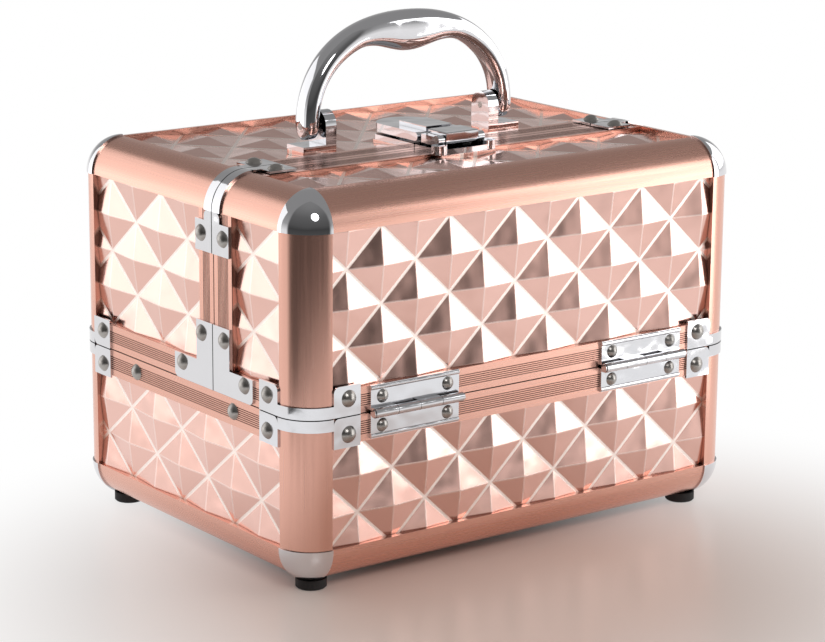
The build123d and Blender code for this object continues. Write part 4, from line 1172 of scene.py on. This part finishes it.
@dataclass(frozen=True)
class SoftBox:
    """A large lamp aimed at the case and placed by its direction from it, in metres."""

    name: str
    azimuth_deg: float
    elevation_deg: float
    width: float
    height: float
    radiance: float
    shape: LampShape = LampShape.BOX
    distance: float = 1.6

    def build(self, aim: Vector) -> None:
        """Hang the lamp.

        Args:
            aim: The point it shines on.
        """
        lamp = bpy.data.lights.new(self.name, "AREA")
        lamp.shape = self.shape.value
        lamp.size = self.width
        lamp.size_y = self.height
        lamp.energy = self.radiance * math.pi * self.width * self.height
        holder = bpy.data.objects.new(self.name, lamp)
        holder.location = aim + heading(self.azimuth_deg, self.elevation_deg) * self.distance
        holder.rotation_euler = (aim - holder.location).to_track_quat("-Z", "Y").to_euler()
        bpy.context.scene.collection.objects.link(holder)
        LOG.info("lamp %s", self.name)


LAMPS = (
    SoftBox("right_box", azimuth_deg=-42.0, elevation_deg=9.0, width=0.56, height=1.3, radiance=2.4),
    SoftBox("side_box", azimuth_deg=-4.0, elevation_deg=20.0, width=1.3, height=0.9, radiance=1.3),
    SoftBox("left_box", azimuth_deg=125.0, elevation_deg=14.0, width=1.3, height=1.3, radiance=0.92),
    SoftBox("round_key", azimuth_deg=-112.0, elevation_deg=38.0, width=0.56, height=0.56, radiance=4.5,
            shape=LampShape.ROUND),
)

# How bright the room is to the case by height, from 0 straight down over 0.5 at eye level to 1 straight up.
PALE_SIDE: Levels = ((0.0, 0.6), (0.33, 0.95), (0.46, 1.0), (0.52, 0.75), (0.6, 0.42), (0.8, 0.3), (1.0, 0.3))
DARK_SIDE: Levels = ((0.0, 0.2), (0.4, 0.1), (0.52, 0.06), (0.6, 0.1), (0.8, 0.14), (1.0, 0.25))


@dataclass
class Studio:
    """Floor, room, lamps and camera, in metres.

    The camera is placed by its direction round the case from the front, its height above level and its
    distance from the target. The floor is a disc round fade_centre that turns white to the camera between
    the two distances of fade. The room is dark towards dark_azimuth_deg, and dark_edge gives the cosines
    of the angles from there at which the dark side starts and is full.
    """

    focal_px: float = 2777.0
    frame_px: tuple[int, int] = (825, 642)
    azimuth_deg: float = -36.87
    elevation_deg: float = 14.07
    roll_deg: float = 0.43
    distance: float = 1.2703
    target: Triple = (0.00349, 0.0, 0.08456)
    sensor_mm: float = 36.0
    clip_start: float = 0.05
    lamp_aim: Triple = (0.0, 0.0, 0.09)
    floor_radius: float = 0.36
    floor_corners: int = 96
    floor_tone: Tone = Tone(252, 230, 218)
    floor_roughness: float = 0.32
    fade_centre: Triple = (-0.04, -0.13, 0.0)
    fade: Pair = (0.05, 0.29)
    room_tint: Triple = (1.0, 0.99, 0.98)
    dark_azimuth_deg: float = -129.0
    dark_edge: Pair = (0.36, 0.5)

    def build(self) -> None:
        """Make the whole studio."""
        self._camera()
        self._floor()
        self._world()
        for lamp in LAMPS:
            lamp.build(Vector(self.lamp_aim))
        bpy.context.scene.view_settings.view_transform = "Standard"

    def _camera(self) -> None:
        """Set the camera where the photograph was taken from."""
        back = heading(self.azimuth_deg - 90.0, self.elevation_deg)
        roll = math.radians(self.roll_deg)
        level = (-back).cross(Vector((0, 0, 1))).normalized()
        upright = level.cross(-back)
        right = level * math.cos(roll) + upright * math.sin(roll)
        up = upright * math.cos(roll) - level * math.sin(roll)
        lens = bpy.data.cameras.new("camera")
        lens.sensor_width = self.sensor_mm
        lens.lens = self.focal_px * self.sensor_mm / self.frame_px[0]
        lens.clip_start = self.clip_start
        holder = bpy.data.objects.new("camera", lens)
        turn = Matrix((right, up, back)).transposed().to_4x4()
        holder.matrix_world = Matrix.Translation(Vector(self.target) + back * self.distance) @ turn
        bpy.context.scene.collection.objects.link(holder)
        bpy.context.scene.camera = holder
        LOG.info("camera at %s", tuple(round(v, 3) for v in holder.location))

    def _floor(self) -> None:
        """Lay the floor."""
        mesh = bpy.data.meshes.new("floor")
        turns = [360.0 * corner / self.floor_corners for corner in range(self.floor_corners)]
        rim = [Vector(self.fade_centre) + heading(turn, 0.0) * self.floor_radius for turn in turns]
        mesh.from_pydata(rim, [], [tuple(range(self.floor_corners))])
        mesh.materials.append(self._floor_paint())
        floor = bpy.data.objects.new("floor", mesh)
        bpy.context.scene.collection.objects.link(floor)
        LOG.info("floor laid")

    def _floor_paint(self) -> bpy.types.Material:
        """Mix pale satin paint that turns white away from the case, to the camera and in the metal.

        Returns:
            The material.
        """
        material = bpy.data.materials.new("floor_paint")
        material.use_nodes = True
        material.node_tree.nodes.clear()
        wires = Wiring(material.node_tree)
        out = wires.add("ShaderNodeOutputMaterial")
        paint = wires.add("ShaderNodeBsdfPrincipled", "satin paint")
        wires.fill(paint, Base_Color=self.floor_tone.linear(), Roughness=self.floor_roughness)
        glow = wires.add("ShaderNodeEmission", "white distance")
        path = wires.add("ShaderNodeLightPath")
        apart = wires.vectors("DISTANCE", "from the middle", wires.spot(), self.fade_centre)
        fade = wires.ranged("fade", apart, self.fade, smooth=True)
        shown = wires.maths("MAXIMUM", path.outputs["Is Camera Ray"], path.outputs["Is Glossy Ray"])
        seen = wires.maths("MULTIPLY", fade, shown)
        wires.mix_shaders(seen, paint.outputs["BSDF"], glow.outputs["Emission"], out)
        return material

    def _world(self) -> None:
        """Make a room that is white to the camera, and to the case a bright band with a dark side."""
        world = bpy.data.worlds.new("studio")
        bpy.context.scene.world = world
        world.use_nodes = True
        world.node_tree.nodes.clear()
        wires = Wiring(world.node_tree)
        out = wires.add("ShaderNodeOutputWorld")
        path = wires.add("ShaderNodeLightPath")
        seen = wires.add("ShaderNodeBackground", "what the camera sees")
        wires.fill(seen, Color=(1.0, 1.0, 1.0, 1.0))
        room = wires.add("ShaderNodeBackground", "what the case sees")
        direction = wires.add("ShaderNodeTexCoord").outputs["Generated"]
        split = wires.add("ShaderNodeSeparateXYZ")
        wires.fill(split, Vector=direction)
        height = wires.maths("MULTIPLY_ADD", split.outputs["Z"], 0.5, 0.5)
        pale = self._ramp(wires, "pale side", height, PALE_SIDE)
        dark = self._ramp(wires, "dark side", height, DARK_SIDE)
        level = wires.vectors("MULTIPLY", "level direction", direction, (1.0, 1.0, 0.0))
        bearing = wires.vectors("NORMALIZE", "bearing", level)
        dark_way = heading(self.dark_azimuth_deg, 0.0)
        towards = wires.vectors("DOT_PRODUCT", "towards the dark side", bearing, dark_way)
        edge = wires.ranged("edge of the dark side", towards, self.dark_edge, smooth=True)
        wires.fill(room, Color=wires.blend("two sides", edge, pale, dark))
        wires.mix_shaders(
            path.outputs["Is Camera Ray"], room.outputs["Background"], seen.outputs["Background"], out
        )
        LOG.info("world lit")

    def _ramp(
        self, wires: Wiring, label: str, height: bpy.types.NodeSocket, levels: Levels
    ) -> bpy.types.NodeSocket:
        """Add a colour ramp over the height of the room.

        Args:
            wires: The world's wiring.
            label: What the ramp is for.
            height: The height, from 0 to 1.
            levels: Pairs of a height and the brightness there, from the height 0 to the height 1.

        Returns:
            The colour.
        """
        ramp = wires.add("ShaderNodeValToRGB", label)
        scale = ramp.color_ramp
        ends = {0.0: scale.elements[0], 1.0: scale.elements[-1]}
        for position, brightness in (levels[0], levels[-1], *levels[1:-1]):
            element = ends[position] if position in ends else scale.elements.new(position)
            element.color = (*(brightness * part for part in self.room_tint), 1.0)
        wires.fill(ramp, Fac=height)
        return ramp.outputs["Color"]


def main() -> None:
    """Build the looks of the case in its studio."""
    logging.basicConfig(level=logging.INFO, format="%(message)s")
    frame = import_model()
    Studio().build()
    shop = Workshop(frame["nodes"])
    Base(shop).dress()
    for side in Side:
        Lid(shop, side).dress()
    Panels(shop).dress()
    Catch(shop).dress()
    handle = Handle(shop)
    handle.dress()
    handle.build()


if __name__ == "__main__":
    main()
